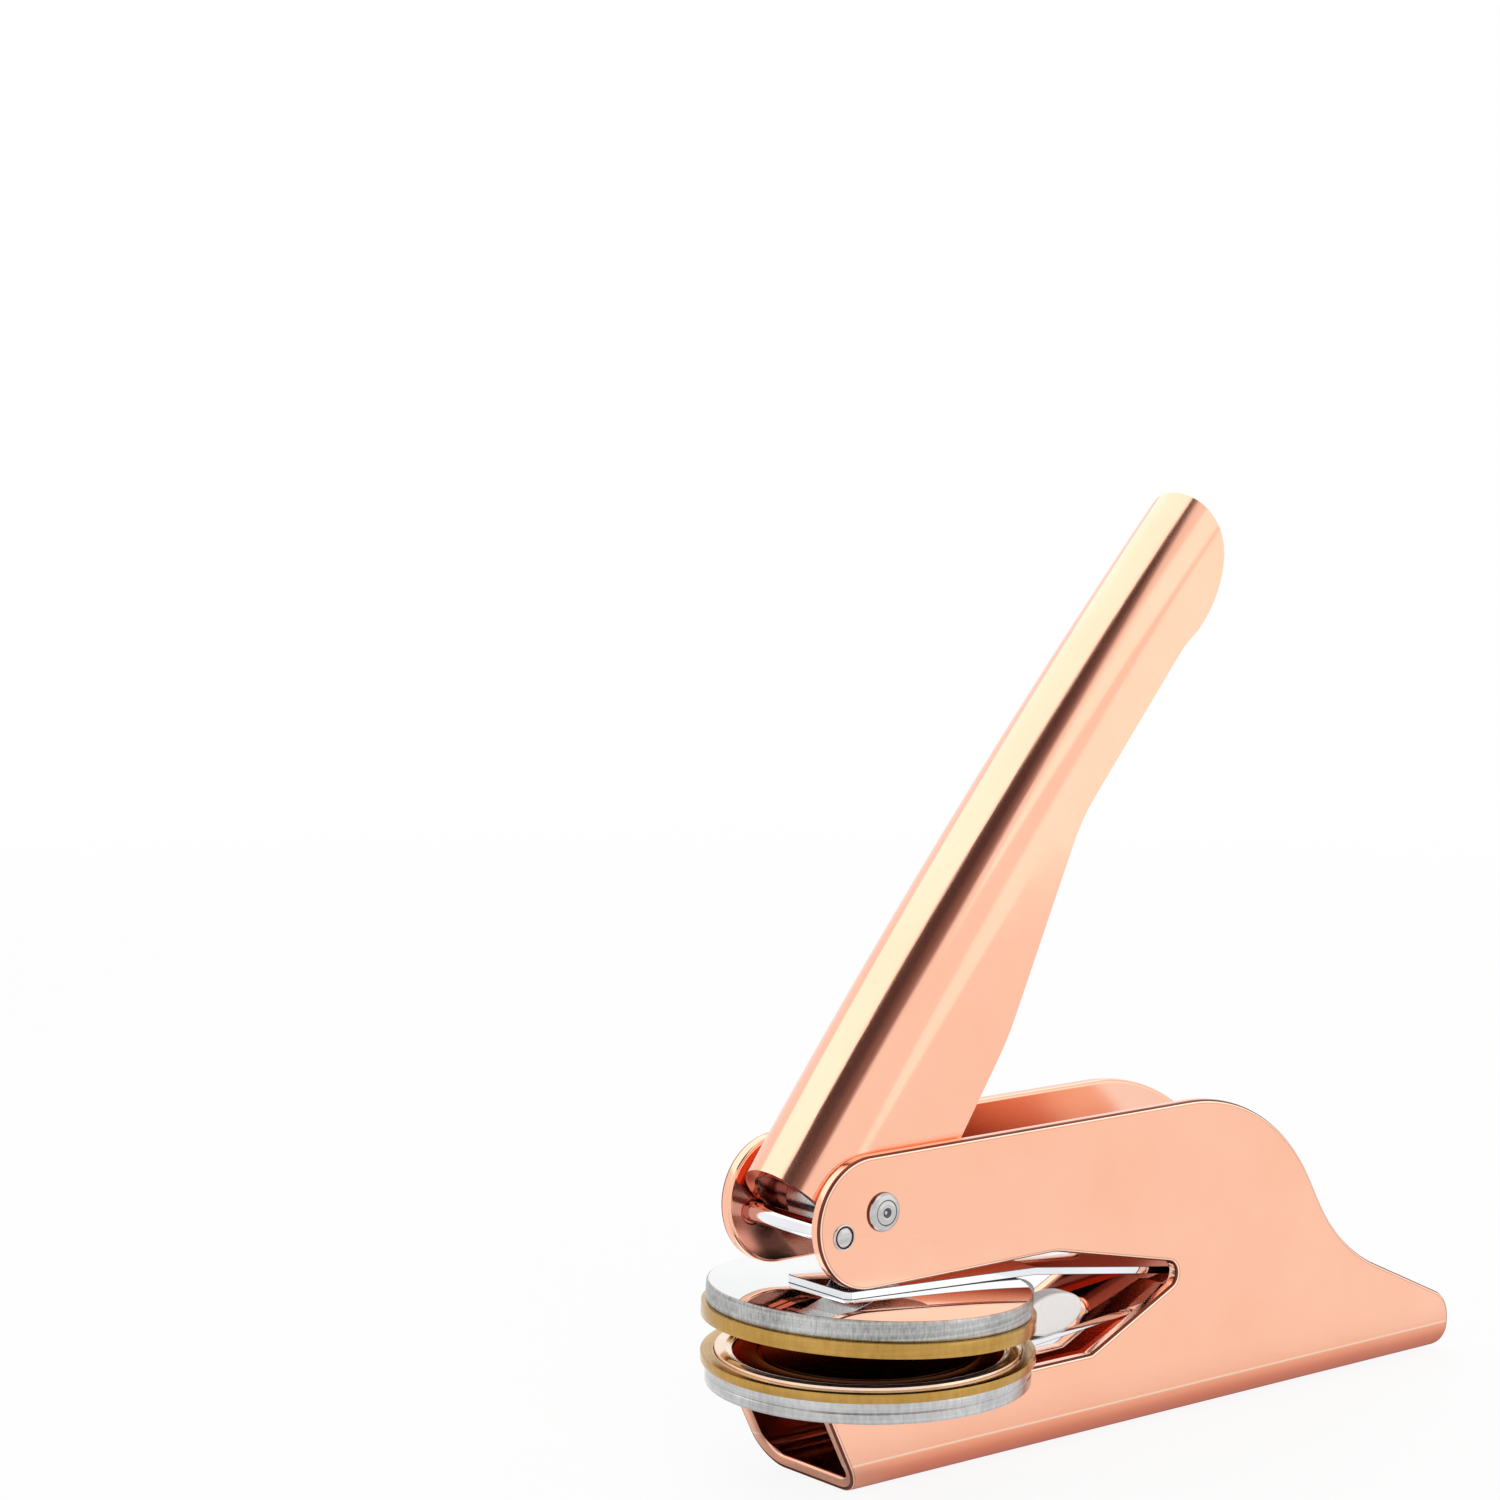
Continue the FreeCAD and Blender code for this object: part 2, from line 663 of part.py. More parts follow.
def makeBufferPin():
    """Pin that holds the paper stop down, with its head under the arm's web."""
    outline = rivetOutline(size("bufferPin") / 2, -size("leafSheet"), size("bufferPinDepth"),
                           size("bufferPinHead") / 2, 0.6)
    return turned("stop_rivet", outline, bufferPlacement())


def makeLowerHolder():
    """Lower die holder: a turned disc whose underside has a blind slot for the clip's arm."""
    foot = size("jawHeight")
    radius = holderRadius
    body = turned("lower_holder", rectangle(0, foot, radius, lowerHolderTop))
    half = size("clipWidth") / 2 + size("slotClearance")
    slot = rectangle(-size("clipFront") - size("slotClearance"), -half, radius + 1, half)
    sketch = newSketch(body, "XY_Plane", slot, "Sizes.jawHeight")
    addFeature(body, "Pocket", sketch, "Sizes.slotDepth", backwards=True)
    holes = circles(holderRivetPlaces(), holderHole)
    addFeature(body, "Pocket", newSketch(body, "XY_Plane", holes), symmetric=True)
    return body


def makeUpperHolder():
    """Upper die holder: a turned disc with a milled rim."""
    radius = holderRadius
    body = turned("upper_holder", rectangle(0, upperHolderFoot, radius, leafFoot), openPlacement)
    holes = circles(holderRivetPlaces(), holderHole)
    addFeature(body, "Pocket", newSketch(body, "XY_Plane", holes), symmetric=True)
    return body


def makeDies():
    """The brass plates, the raised ring and the two die faces, each a turned piece."""
    outside = size("dieRadius")
    seat = lowerDieTop - size("ringSeat")
    well = ringOutside + size("dieFit")
    bed = ringInside - size("dieFit")
    proud = lowerDieTop + size("ringProud")
    face = size("faceThickness")
    slope = 0.4
    pieces = [
        turned("lower_die_plate", polygon([
            (0, lowerHolderTop), (outside, lowerHolderTop), (outside, lowerDieTop),
            (well, lowerDieTop), (well, seat), (0, seat)])),
        turned("lower_die_ring", polygon([
            (ringInside, seat), (ringOutside, seat), (ringOutside, proud),
            (ringInside + slope, proud), (ringInside, proud - slope)])),
        turned("lower_die_face", polygon([(0, seat), (bed, seat), (bed, seat + face), (0, seat + face)]))]
    recess = upperDieFoot + size("counterRecess")
    counter = ringInside - size("counterClearance")
    counterFoot = upperDieFoot - size("counterProud")
    mouth = ringOutside + size("ringClearance")
    pieces += [
        turned("upper_die_plate", polygon([
            (0, recess), (mouth, recess), (mouth, upperDieFoot), (outside, upperDieFoot),
            (outside, upperHolderFoot), (0, upperHolderFoot)]), openPlacement),
        turned("upper_die_face", rectangle(0, counterFoot, counter, recess), openPlacement)]
    return pieces


rivetPlace = handlePlacement.multVec(Vector(size("camRivetS"), 0, size("camRivetN")))
halfCam = cheekInside - size("camSpacer")
pivotBore = size("pivotPin") + 2 * size("pinClearance")
subParts = [
    makeFrame(),
    makePivotRivet(),
    makeStopPin(),
    makeHandle(),
    makeCam(),
    makeSleeve("cam_bush", [(pivotPlace, 1)], size("bushOutside"), pivotBore, -halfCam, halfCam),
    makeSleeve("pivot_spacers", [(pivotPlace, 1), (pivotPlace, -1)], size("spacerOutside"), pivotBore,
               halfCam, cheekInside),
    makeSleeve("cam_rivet_spacers", [(rivetPlace, 1), (rivetPlace, -1)], size("camRivet") + 2.0,
               size("camRivet"), halfCam, cheekInside),
    turned("cam_rivet", rivetOutline(size("camRivet") / 2, -cheekOutside, cheekOutside),
           FreeCAD.Placement(rivetPlace, sideways)),
    makeLowerArm(),
    makeLowerHolder(),
    makeLowerHolderRivets(),
    makeBuffer(),
    makeBufferPin(),
    makeLeafRoot(),
    makeClipRivets(),
    makeUpperLeaf(),
    makeUpperHolder(),
    makeUpperHolderRivets(),
] + makeDies()

broken = [item.Label for item in doc.Objects if "Invalid" in item.State or "Error" in item.State]
broken += [part.Label for part in subParts if part.Shape.isNull() or not part.Shape.isValid()]
if broken:
    raise SystemExit("not built: " + ", ".join(broken))
for part in subParts:
    part.Shape.exportStep("parts/%s.step" % part.Label)
    print(part.Label, len(part.Shape.Solids), round(part.Shape.Volume, 2))
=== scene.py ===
import math
from contextlib import contextmanager

import bmesh
import bpy
from mathutils import Matrix, Vector


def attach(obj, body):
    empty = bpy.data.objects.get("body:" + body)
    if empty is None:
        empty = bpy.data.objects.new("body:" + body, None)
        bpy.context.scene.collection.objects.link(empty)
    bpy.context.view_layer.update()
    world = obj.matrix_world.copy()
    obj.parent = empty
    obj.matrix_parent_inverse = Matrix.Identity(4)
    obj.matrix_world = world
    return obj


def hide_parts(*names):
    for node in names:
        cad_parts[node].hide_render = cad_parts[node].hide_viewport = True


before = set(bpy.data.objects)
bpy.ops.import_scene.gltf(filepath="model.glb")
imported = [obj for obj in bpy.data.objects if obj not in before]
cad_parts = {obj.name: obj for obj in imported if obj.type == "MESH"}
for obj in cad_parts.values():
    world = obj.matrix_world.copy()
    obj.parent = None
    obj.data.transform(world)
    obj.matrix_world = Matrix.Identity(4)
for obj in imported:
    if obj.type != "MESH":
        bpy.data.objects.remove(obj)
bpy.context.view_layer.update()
scene = bpy.context.scene
mm = 0.001
# how close counts as the same place: in mm for an outline, in metres for a mesh
outlineTouch = 1e-6
meshTouch = 1e-7

# places that several pieces share, in mm and degrees, in the same frame as the CAD
places = {
    "pivot": (-7.0, 0.0, 41.7), "stop": (-14.4, 0.0, 39.05), "leverTilt": 49.6,
    "flexLine": (78.4, 0.0, 19.2), "dieOpening": 3.1,
}


def place(point):
    return Matrix.Translation(Vector(point) * mm)


def turnAbout(axis, degrees):
    return Matrix.Rotation(math.radians(degrees), 4, axis)


leverPlace = place(places["pivot"]) @ turnAbout("Y", -places["leverTilt"])
flexPlace = place(places["flexLine"])
openPlace = flexPlace @ turnAbout("Y", places["dieOpening"]) @ flexPlace.inverted()
acrossPlace = turnAbout("X", 90)


def newMaterial(name, look, metallic=1.0):
    material = bpy.data.materials.new(name)
    material.use_nodes = True
    shader = material.node_tree.nodes["Principled BSDF"]
    shader.inputs["Base Color"].default_value = (*look["light"], 1)
    shader.inputs["Metallic"].default_value = metallic
    shader.inputs["Roughness"].default_value = look["roughLow"]
    return material, material.node_tree, shader


def link(tree, output, target):
    tree.links.new(output, target)


def addNode(tree, kind, inputs, **settings):
    # an input goes by its name or number and takes a plain value or another node's output
    node = tree.nodes.new(kind)
    for name, value in settings.items():
        setattr(node, name, value)
    for socket, value in inputs.items():
        if isinstance(value, bpy.types.NodeSocket):
            link(tree, value, node.inputs[socket])
        else:
            node.inputs[socket].default_value = value
    return node


def calc(tree, operation, first, second=0.0):
    return addNode(tree, "ShaderNodeMath", {0: first, 1: second}, operation=operation).outputs["Value"]


def partsOf(tree, vector):
    return addNode(tree, "ShaderNodeSeparateXYZ", {"Vector": vector}).outputs


def joined(tree, x, y, z=0.0):
    return addNode(tree, "ShaderNodeCombineXYZ", {"X": x, "Y": y, "Z": z}).outputs["Vector"]


def pointsOf(tree, scale=(1, 1, 1), turn=(0, 0, 0), move=(0, 0, 0)):
    # object coordinates, turned and stretched
    source = tree.nodes.new("ShaderNodeTexCoord").outputs["Object"]
    turned = addNode(tree, "ShaderNodeMapping", {
        "Vector": source, "Location": move, "Rotation": [math.radians(angle) for angle in turn]})
    return addNode(tree, "ShaderNodeVectorMath", {0: turned.outputs["Vector"], 1: scale},
                   operation="MULTIPLY").outputs["Vector"]


def noiseOf(tree, vector, scale, detail=3.0, rough=0.55):
    return addNode(tree, "ShaderNodeTexNoise", {
        "Vector": vector, "Scale": scale, "Detail": detail, "Roughness": rough}).outputs["Fac"]


def noiseAlong(tree, value, scale, detail=2.0):
    return addNode(tree, "ShaderNodeTexNoise", {"W": value, "Scale": scale, "Detail": detail},
                   noise_dimensions="1D").outputs["Fac"]


def spread(tree, value, low, high, start=0.3, finish=0.7):
    # start to finish becomes low to high, and stays within them
    node = addNode(tree, "ShaderNodeMapRange", {
        "Value": value, "From Min": start, "From Max": finish, "To Min": low, "To Max": high})
    return node.outputs["Result"]


def blendOf(tree, factor, first, second):
    # from a colour, or from another node's colour, over to the second colour
    under = first if isinstance(first, bpy.types.NodeSocket) else (*first, 1)
    return addNode(tree, "ShaderNodeMix", {"A": under, "B": (*second, 1), "Factor": factor},
                   data_type="RGBA").outputs["Result"]


def radiusOf(tree, vector):
    flat = addNode(tree, "ShaderNodeVectorMath", {0: vector, 1: (1, 1, 0)}, operation="MULTIPLY")
    length = addNode(tree, "ShaderNodeVectorMath", {0: flat.outputs["Vector"]}, operation="LENGTH")
    return length.outputs["Value"]


def cloudy(tree, clouds, look):
    return blendOf(tree, spread(tree, clouds, 0, 1), look["light"], look["deep"])


def dress(tree, shader, look, tone, wear, relief, wearRange=(0.3, 0.7), depth=0.1):
    # the colour, the roughness from low to high, and a fine relief of a depth in mm
    rough = spread(tree, wear, look["roughLow"], look["roughHigh"], *wearRange)
    bump = addNode(tree, "ShaderNodeBump", {
        "Height": relief, "Strength": look["bump"], "Distance": depth * mm})
    for value, socket in ((tone, "Base Color"), (rough, "Roughness"), (bump.outputs["Normal"], "Normal")):
        link(tree, value, shader.inputs[socket])


# scales of the patterns per metre; stretched ones run along the sheet; widths in mm
plating = {"stretch": 0.03, "clouds": 45, "hairsPerLine": 4, "creaseHighlight": (0.08, 0.22), "depth": 0.2}


def platedMetal(name, look, turn=(0, 0, 0), creaseHighlightAt=None):
    # polished plate over pressed steel: faint rolling lines along the sheet, soft cloudiness, fine hairlines
    material, tree, shader = newMaterial(name, look)
    along = pointsOf(tree, (plating["stretch"], 1, 1), turn)
    every = pointsOf(tree)
    parts = partsOf(tree, every)
    rolling = noiseOf(tree, along, look["lines"], 4.0, 0.6)
    clouds = noiseOf(tree, every, plating["clouds"])
    hairs = noiseOf(tree, along, look["lines"] * plating["hairsPerLine"], 2.0, 0.7)
    tone = cloudy(tree, clouds, look)
    if creaseHighlightAt is not None:
        # a painted highlight: a thin bright line where the sheet starts to bend, standing in for light
        # caught along the bend
        away = calc(tree, "ABSOLUTE", calc(tree, "SUBTRACT", parts["Z"], creaseHighlightAt * mm))
        near = spread(tree, away, 1, 0, *[width * mm for width in plating["creaseHighlight"]])
        tone = blendOf(tree, near, tone, look["creaseHighlight"])
    for axis, start, finish, colour in look.get("shadeBands", []):
        # painted shade: the colour darkens deep in the channel and under the arch, and brightens towards the
        # open side
        tone = blendOf(tree, spread(tree, parts[axis], 1, 0, start * mm, finish * mm), tone, colour)
    wear = calc(tree, "ADD", spread(tree, rolling, 0, 0.6), spread(tree, clouds, 0, 0.4))
    dress(tree, shader, look, tone, wear, calc(tree, "ADD", rolling, hairs), (0, 1), plating["depth"])
    return material


def chromeMetal(name, look):
    # bright nickel with drawn streaks along the strip and a soft cloudiness
    material, tree, shader = newMaterial(name, look)
    streaks = noiseOf(tree, pointsOf(tree, (look["stretch"], 1, 1)), look["streaks"], 4.0, 0.6)
    clouds = noiseOf(tree, pointsOf(tree), look["clouds"], 2.0)
    dress(tree, shader, look, cloudy(tree, clouds, look), streaks, streaks)
    return material


# how far each pattern darkens a turned face, and from where to where it does
turning = {"grain": 0.45, "marks": 0.25, "sector": 0.3, "sectorRange": (0.4, 0.6),
           "tick": 0.7, "groupRange": (0.60, 0.66), "strokeLength": 0.3}


def turnedMetal(name, look, move=(0, 0, 0), turn=(0, 0, 0)):
    # concentric tool marks from the lathe about the piece's own axis
    material, tree, shader = newMaterial(name, look)
    centred = pointsOf(tree, turn=turn, move=move)
    parts = partsOf(tree, centred)
    turnedBy = calc(tree, "ARCTAN2", parts["Y"], parts["X"])
    marks = noiseAlong(tree, calc(tree, "ADD", radiusOf(tree, centred), parts["Z"]), look["marks"], 4.0)
    if "strokes" in look:
        # short upright strokes of the cutter round the rim
        stroke = joined(tree, calc(tree, "MULTIPLY", turnedBy, look["radius"]),
                        calc(tree, "MULTIPLY", parts["Z"], turning["strokeLength"]))
        grain = noiseOf(tree, stroke, look["strokes"], 3.0, 0.65)
    else:
        grain = noiseOf(tree, pointsOf(tree), look["grain"], 3.0, 0.65)
    # painted sheen: broad light and dark sectors round the axis, as a lathe-turned face throws them in its
    # reflections
    sector = noiseAlong(tree, turnedBy, look.get("sectors", 1.6))
    fine = calc(tree, "ADD", spread(tree, grain, 0, turning["grain"]),
                spread(tree, marks, 0, turning["marks"]))
    tone = calc(tree, "ADD", fine, spread(tree, sector, 0, turning["sector"], *turning["sectorRange"]))
    if "ticks" in look:
        # a few groups of short upright tool marks round the rim
        groups = noiseAlong(tree, turnedBy, look["groups"])
        waves = calc(tree, "SINE", calc(tree, "MULTIPLY", turnedBy, look["ticks"]))
        tick = calc(tree, "MULTIPLY", spread(tree, groups, 0, 1, *turning["groupRange"]),
                    spread(tree, waves, 0, turning["tick"], 0, 1))
        tone = calc(tree, "MAXIMUM", tone, tick)
    colour = blendOf(tree, tone, look["light"], look["deep"])
    dress(tree, shader, look, colour, marks, calc(tree, "ADD", marks, grain))
    return material


def mouldedPlastic(name, look):
    material, tree, shader = newMaterial(name, look, 0.0)
    for name, value in look["glow"].items():
        shader.inputs["Subsurface " + name].default_value = value
    clouds = noiseOf(tree, pointsOf(tree), look["clouds"])
    grain = noiseOf(tree, pointsOf(tree), look["grain"], 2.0)
    dress(tree, shader, look, cloudy(tree, clouds, look), clouds, grain)
    return material


platedLooks = {
    "outside": {"light": (1.0, 0.56, 0.40), "deep": (0.985, 0.515, 0.355), "creaseHighlight": (1.0, 0.78, 0.62),
                "roughLow": 0.10, "roughHigh": 0.17, "lines": 900, "bump": 0.02},
    # painted shade bands: along which axis, from and to where in mm, and the colour they come from
    "inside": {"light": (1.0, 0.62, 0.47), "deep": (0.97, 0.55, 0.40),
               "roughLow": 0.14, "roughHigh": 0.19, "lines": 700, "bump": 0.004,
               "shadeBands": [("Z", 30, 42, (0.46, 0.16, 0.11)), ("Z", 12, 18, (0.80, 0.32, 0.21)),
                         ("X", -2, 12, (0.74, 0.31, 0.23))]},
    "hollow": {"light": (0.95, 0.50, 0.35), "deep": (0.90, 0.42, 0.28),
               "roughLow": 0.12, "roughHigh": 0.17, "lines": 700, "bump": 0.006,
               "shadeBands": [("Z", 56, 80, (0.52, 0.13, 0.09))]},
    # painted edge colours: a shaded, a highlighted and a dark shaded copy of the plating
    "shade": {"light": (0.80, 0.40, 0.27), "deep": (0.74, 0.34, 0.22),
              "roughLow": 0.14, "roughHigh": 0.2, "lines": 900, "bump": 0.02},
    "bright": {"light": (1.0, 0.80, 0.63), "deep": (0.98, 0.74, 0.57),
               "roughLow": 0.10, "roughHigh": 0.16, "lines": 900, "bump": 0.02},
    "dark": {"light": (0.26, 0.065, 0.04), "deep": (0.16, 0.04, 0.025),
             "roughLow": 0.3, "roughHigh": 0.45, "lines": 900, "bump": 0.04},
}
bendTop = 5.0
leverTurn = (0, places["leverTilt"], 0)
# the frame's outer finish carries a painted highlight line at the top of the bend
frameFinish = platedMetal("roseGoldFrame", platedLooks["outside"], creaseHighlightAt=bendTop)
# the inner finishes are shaded copies of the plating, with painted shade in the channel and in the lever's
# hollow
frameInside = platedMetal("roseGoldFrameInside", platedLooks["inside"])
leverFinish = platedMetal("roseGoldLever", platedLooks["outside"], leverTurn)
leverInside = platedMetal("roseGoldLeverInside", platedLooks["hollow"], leverTurn)
# the edge finishes are painted light and shade for the rounded edges
edgeShade, edgeHighlight, edgeDeepShade = [platedMetal("roseGoldEdge" + look.title(), platedLooks[look])
                                   for look in ("shade", "bright", "dark")]
# the strips of a sheet's rounded edge, from the outer face in: painted shade, a painted highlight, then a
# painted dark shade line
sheetEdge = [edgeShade, edgeHighlight, edgeDeepShade, edgeDeepShade, edgeDeepShade]

drawn = {"stretch": 0.04, "streaks": 1400, "clouds": 120, "bump": 0.03}
chromeFinish = chromeMetal("polishedChrome", {
    **drawn, "light": (0.88, 0.89, 0.91), "deep": (0.80, 0.815, 0.85), "roughLow": 0.02, "roughHigh": 0.05})
# painted shade: a dark copy of the chrome, for rounded edges and hollows
chromeShade = chromeMetal("chromeShade", {
    **drawn, "light": (0.12, 0.12, 0.13), "deep": (0.08, 0.08, 0.09), "roughLow": 0.25, "roughHigh": 0.35})

turnedLooks = {
    "aluminium": {"light": (0.72, 0.72, 0.725), "deep": (0.38, 0.38, 0.38),
                  "roughLow": 0.12, "roughHigh": 0.26, "marks": 2600, "strokes": 1500, "radius": 0.024,
                  "bump": 0.03, "ticks": 420, "groups": 5.0},
    "milled": {"light": (0.72, 0.72, 0.71), "deep": (0.20, 0.20, 0.195), "roughLow": 0.18, "roughHigh": 0.36,
               "marks": 1600, "strokes": 2600, "radius": 0.024, "bump": 0.08, "ticks": 300, "groups": 9.0},
    "mirror": {"light": (0.91, 0.915, 0.92), "deep": (0.88, 0.885, 0.89),
               "roughLow": 0.015, "roughHigh": 0.035, "marks": 300, "grain": 120, "bump": 0.002},
    "brass": {"light": (0.61, 0.37, 0.105), "deep": (0.40, 0.22, 0.048), "roughLow": 0.12, "roughHigh": 0.24,
              "marks": 2200, "strokes": 900, "radius": 0.025, "bump": 0.02},
    "copper": {"light": (0.99, 0.80, 0.65), "deep": (0.93, 0.66, 0.50), "roughLow": 0.05, "roughHigh": 0.12,
               "marks": 2400, "grain": 700, "bump": 0.01},
    # painted shade: the die face is coloured near black, standing in for the shade under the upper die
    "shadedDie": {"light": (0.075, 0.034, 0.018), "deep": (0.036, 0.015, 0.009),
                "roughLow": 0.22, "roughHigh": 0.36, "marks": 900, "grain": 500, "bump": 0.01},
    "steel": {"light": (0.60, 0.59, 0.58), "deep": (0.40, 0.395, 0.39), "roughLow": 0.14, "roughHigh": 0.28,
              "marks": 2600, "grain": 900, "bump": 0.03},
    "rivet": {"light": (0.70, 0.69, 0.68), "deep": (0.34, 0.335, 0.33), "roughLow": 0.10, "roughHigh": 0.2,
              "marks": 1500, "grain": 120, "bump": 0.02, "sectors": 0.9},
}
tipped = (0, -places["dieOpening"], 0)
acrossTurn = (90, 0, 0)
aluminiumFinish = turnedMetal("turnedAluminium", turnedLooks["aluminium"])
milledFinish = turnedMetal("milledAluminium", turnedLooks["milled"], turn=tipped)
mirrorFinish = turnedMetal("mirrorAluminium", turnedLooks["mirror"], turn=tipped)
brassFinish = turnedMetal("turnedBrass", turnedLooks["brass"])
copperFinish = turnedMetal("turnedCopper", turnedLooks["copper"])
# painted shade and a painted reddish reflection tint on the lower die face
dieFinish = turnedMetal("shadedDieMetal", turnedLooks["shadedDie"])
dieFinish.node_tree.nodes["Principled BSDF"].inputs["Specular Tint"].default_value = (0.60, 0.30, 0.20, 1)
steelFinish = turnedMetal("turnedSteel", turnedLooks["steel"], turn=acrossTurn)


def pinFinish(name, pin):
    # the marks run about the pin's own axis
    x, y, z = places[pin]
    return turnedMetal(name, turnedLooks["rivet"], (-x * mm, -z * mm, -y * mm), acrossTurn)


pivotFinish = pinFinish("turnedPivot", "pivot")
stopFinish = pinFinish("turnedStop", "stop")

moulded = {"clouds": 160, "grain": 2600, "bump": 0.06}
nylonFinish = mouldedPlastic("whiteNylon", {
    **moulded, "light": (0.93, 0.93, 0.92), "deep": (0.89, 0.89, 0.87), "roughLow": 0.22, "roughHigh": 0.32,
    "glow": {"Weight": 0.15, "Radius": (0.002, 0.0018, 0.0016), "Scale": 0.5}})
counterFinish = mouldedPlastic("counterDie", {
    **moulded, "light": (0.16, 0.15, 0.14), "deep": (0.11, 0.10, 0.10), "roughLow": 0.4, "roughHigh": 0.5,
    "glow": {}})
print("materials made:", len(bpy.data.materials))


def newPiece(name, mesh, material):
    piece = bpy.data.objects.new(name, mesh)
    scene.collection.objects.link(piece)
    mesh.materials.clear()
    mesh.materials.append(material)
    return piece


def meshOf(name, points, faces, unit=mm):
    mesh = bpy.data.meshes.new(name)
    mesh.from_pydata([tuple(Vector(point) * unit) for point in points], [], faces)
    mesh.validate()
    return mesh


@contextmanager
def editing(mesh):
    shape = bmesh.new()
    shape.from_mesh(mesh)
    yield shape
    shape.to_mesh(mesh)
    shape.free()


def settle(piece):
    # the evaluated shape becomes the piece's own plain mesh
    bpy.context.view_layer.update()
    shaped = bpy.data.meshes.new_from_object(piece.evaluated_get(bpy.context.evaluated_depsgraph_get()))
    piece.modifiers.clear()
    piece.data = shaped
    return piece


def smooth(mesh):
    for face in mesh.polygons:
        face.use_smooth = True


def faceOut(shape, side=0):
    # a closed shape goes by its volume, an open sheet by its lowest (-1) or its highest (1) face
    bmesh.ops.recalc_face_normals(shape, faces=shape.faces)
    outward = shape.calc_volume(signed=True)
    if side:
        outermost = max(shape.faces, key=lambda face: side * face.calc_center_median().z)
        outward = side * outermost.normal.z
    if outward < 0:
        bmesh.ops.reverse_faces(shape, faces=shape.faces)


def foldSheet(piece, sheet, innerFinish):
    # gives the skin its thickness inwards, with a finish of its own on the inner face
    piece.data.materials.append(innerFinish)
    piece.data.materials.append(piece.data.materials[0])
    wall = piece.modifiers.new("sheet", "SOLIDIFY")
    wall.thickness = sheet * mm
    wall.use_even_offset = True
    wall.material_offset = 1
    wall.material_offset_rim = 2


# beyond which angle an edge is rounded, and the number of strips across it
bevels = {"sheet": (50, 5), "strip": (35, 2), "moulded": (40, 3)}


def addBevel(piece, width, kind, own=None):
    angle, segments = bevels[kind]
    bevel = piece.modifiers.new("edges", "BEVEL")
    if own:
        piece.data.materials.append(own)
        bevel.material = len(piece.data.materials) - 1
    bevel.width = width * mm
    bevel.segments = segments
    bevel.angle_limit = math.radians(angle)
    weighted = piece.modifiers.new("normals", "WEIGHTED_NORMAL")
    weighted.weight = 60


def drawEdges(piece, finishes):
    # the strips of the rounded edge, counted from the outer face: painted shade, a painted highlight or a
    # painted dark shade line
    outer, rim, rounded = 0, 2, 3
    mesh = piece.data
    first = len(mesh.materials)
    for finish in finishes:
        mesh.materials.append(finish)
    with editing(mesh) as shape:
        seen = {face for face in shape.faces if face.material_index == outer}
        for strip in range(len(finishes)):
            ring = {other for face in seen for edge in face.edges for other in edge.link_faces
                    if other.material_index == rounded and other not in seen}
            for face in ring:
                face.material_index = first + strip
            seen = ring
        for face in shape.faces:
            if face.material_index == rounded:
                face.material_index = rim


def makeSheet(name, mesh, finish, innerFinish, values):
    # one bent sheet: its thickness, its rounded edge and the edge's own strips
    smooth(mesh)
    piece = newPiece(name, mesh, finish)
    foldSheet(piece, values["sheet"], innerFinish)
    addBevel(piece, values["edge"], "sheet", edgeHighlight)
    drawEdges(settle(piece), sheetEdge)
    return piece


def finishPiece(piece, body, node):
    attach(piece, body)
    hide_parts(node)


def pick(values, names):
    return [values[name] for name in names.split()]


def bridge(rows):
    # the faces between neighbouring rows of points
    return [[lower[step], lower[step + 1], higher[step + 1], higher[step]]
            for lower, higher in zip(rows, rows[1:]) for step in range(len(lower) - 1)]


def arcTurn(first, last):
    turn = math.atan2(last.y, last.x) - math.atan2(first.y, first.x)
    return (turn + math.pi) % (2 * math.pi) - math.pi


def roundedOutline(corners, step):
    # corners (x, y, radius) to points, each corner rounded by a tangent arc
    points = []
    count = len(corners)
    for index, (x, y, radius) in enumerate(corners):
        here = Vector((x, y))
        if radius == 0:
            points.append(here)
            continue
        before = (Vector(corners[index - 1][:2]) - here).normalized()
        after = (Vector(corners[(index + 1) % count][:2]) - here).normalized()
        half = before.angle(after) / 2
        centre = here + (before + after).normalized() * radius / math.sin(half)
        first = here + before * radius / math.tan(half) - centre
        last = here + after * radius / math.tan(half) - centre
        turn = arcTurn(first, last)
        pieces = max(2, math.ceil(abs(math.degrees(turn)) / step))
        start = math.atan2(first.y, first.x)
        for part in range(pieces + 1):
            angle = start + turn * part / pieces
            points.append(centre + Vector((math.cos(angle), math.sin(angle))) * radius)
    return points


def isInside(points, x, y):
    odd = False
    for first, second in zip(points, points[1:] + points[:1]):
        if (first.y > y) != (second.y > y):
            if x < first.x + (y - first.y) * (second.x - first.x) / (second.y - first.y):
                odd = not odd
    return odd


frameSizes = {
    "width": 23.2, "sheet": 2.2, "bend": bendTop, "bendSteps": 12, "edge": 0.6, "arcStep": 2.5,
    "outline": [
        (-18.9, 30.5, 9.79), (-18.9, 50.1, 9.79), (74.4, 50.1, 32.0), (90.8, 21.6, 30.0),
        (118.1, 9.1, 5.0), (118.1, 0, 0), (-10.9, 0, 0), (-17.3, 13.4, 0.8), (35.2, 13.4, 1.2),
        (57.9, 23.95, 2.1), (27.6, 30.5, 8.0)],
    "tail": 118.1, "toe": (-10.9, 0.0), "jaw": (-17.3, 13.4),
}


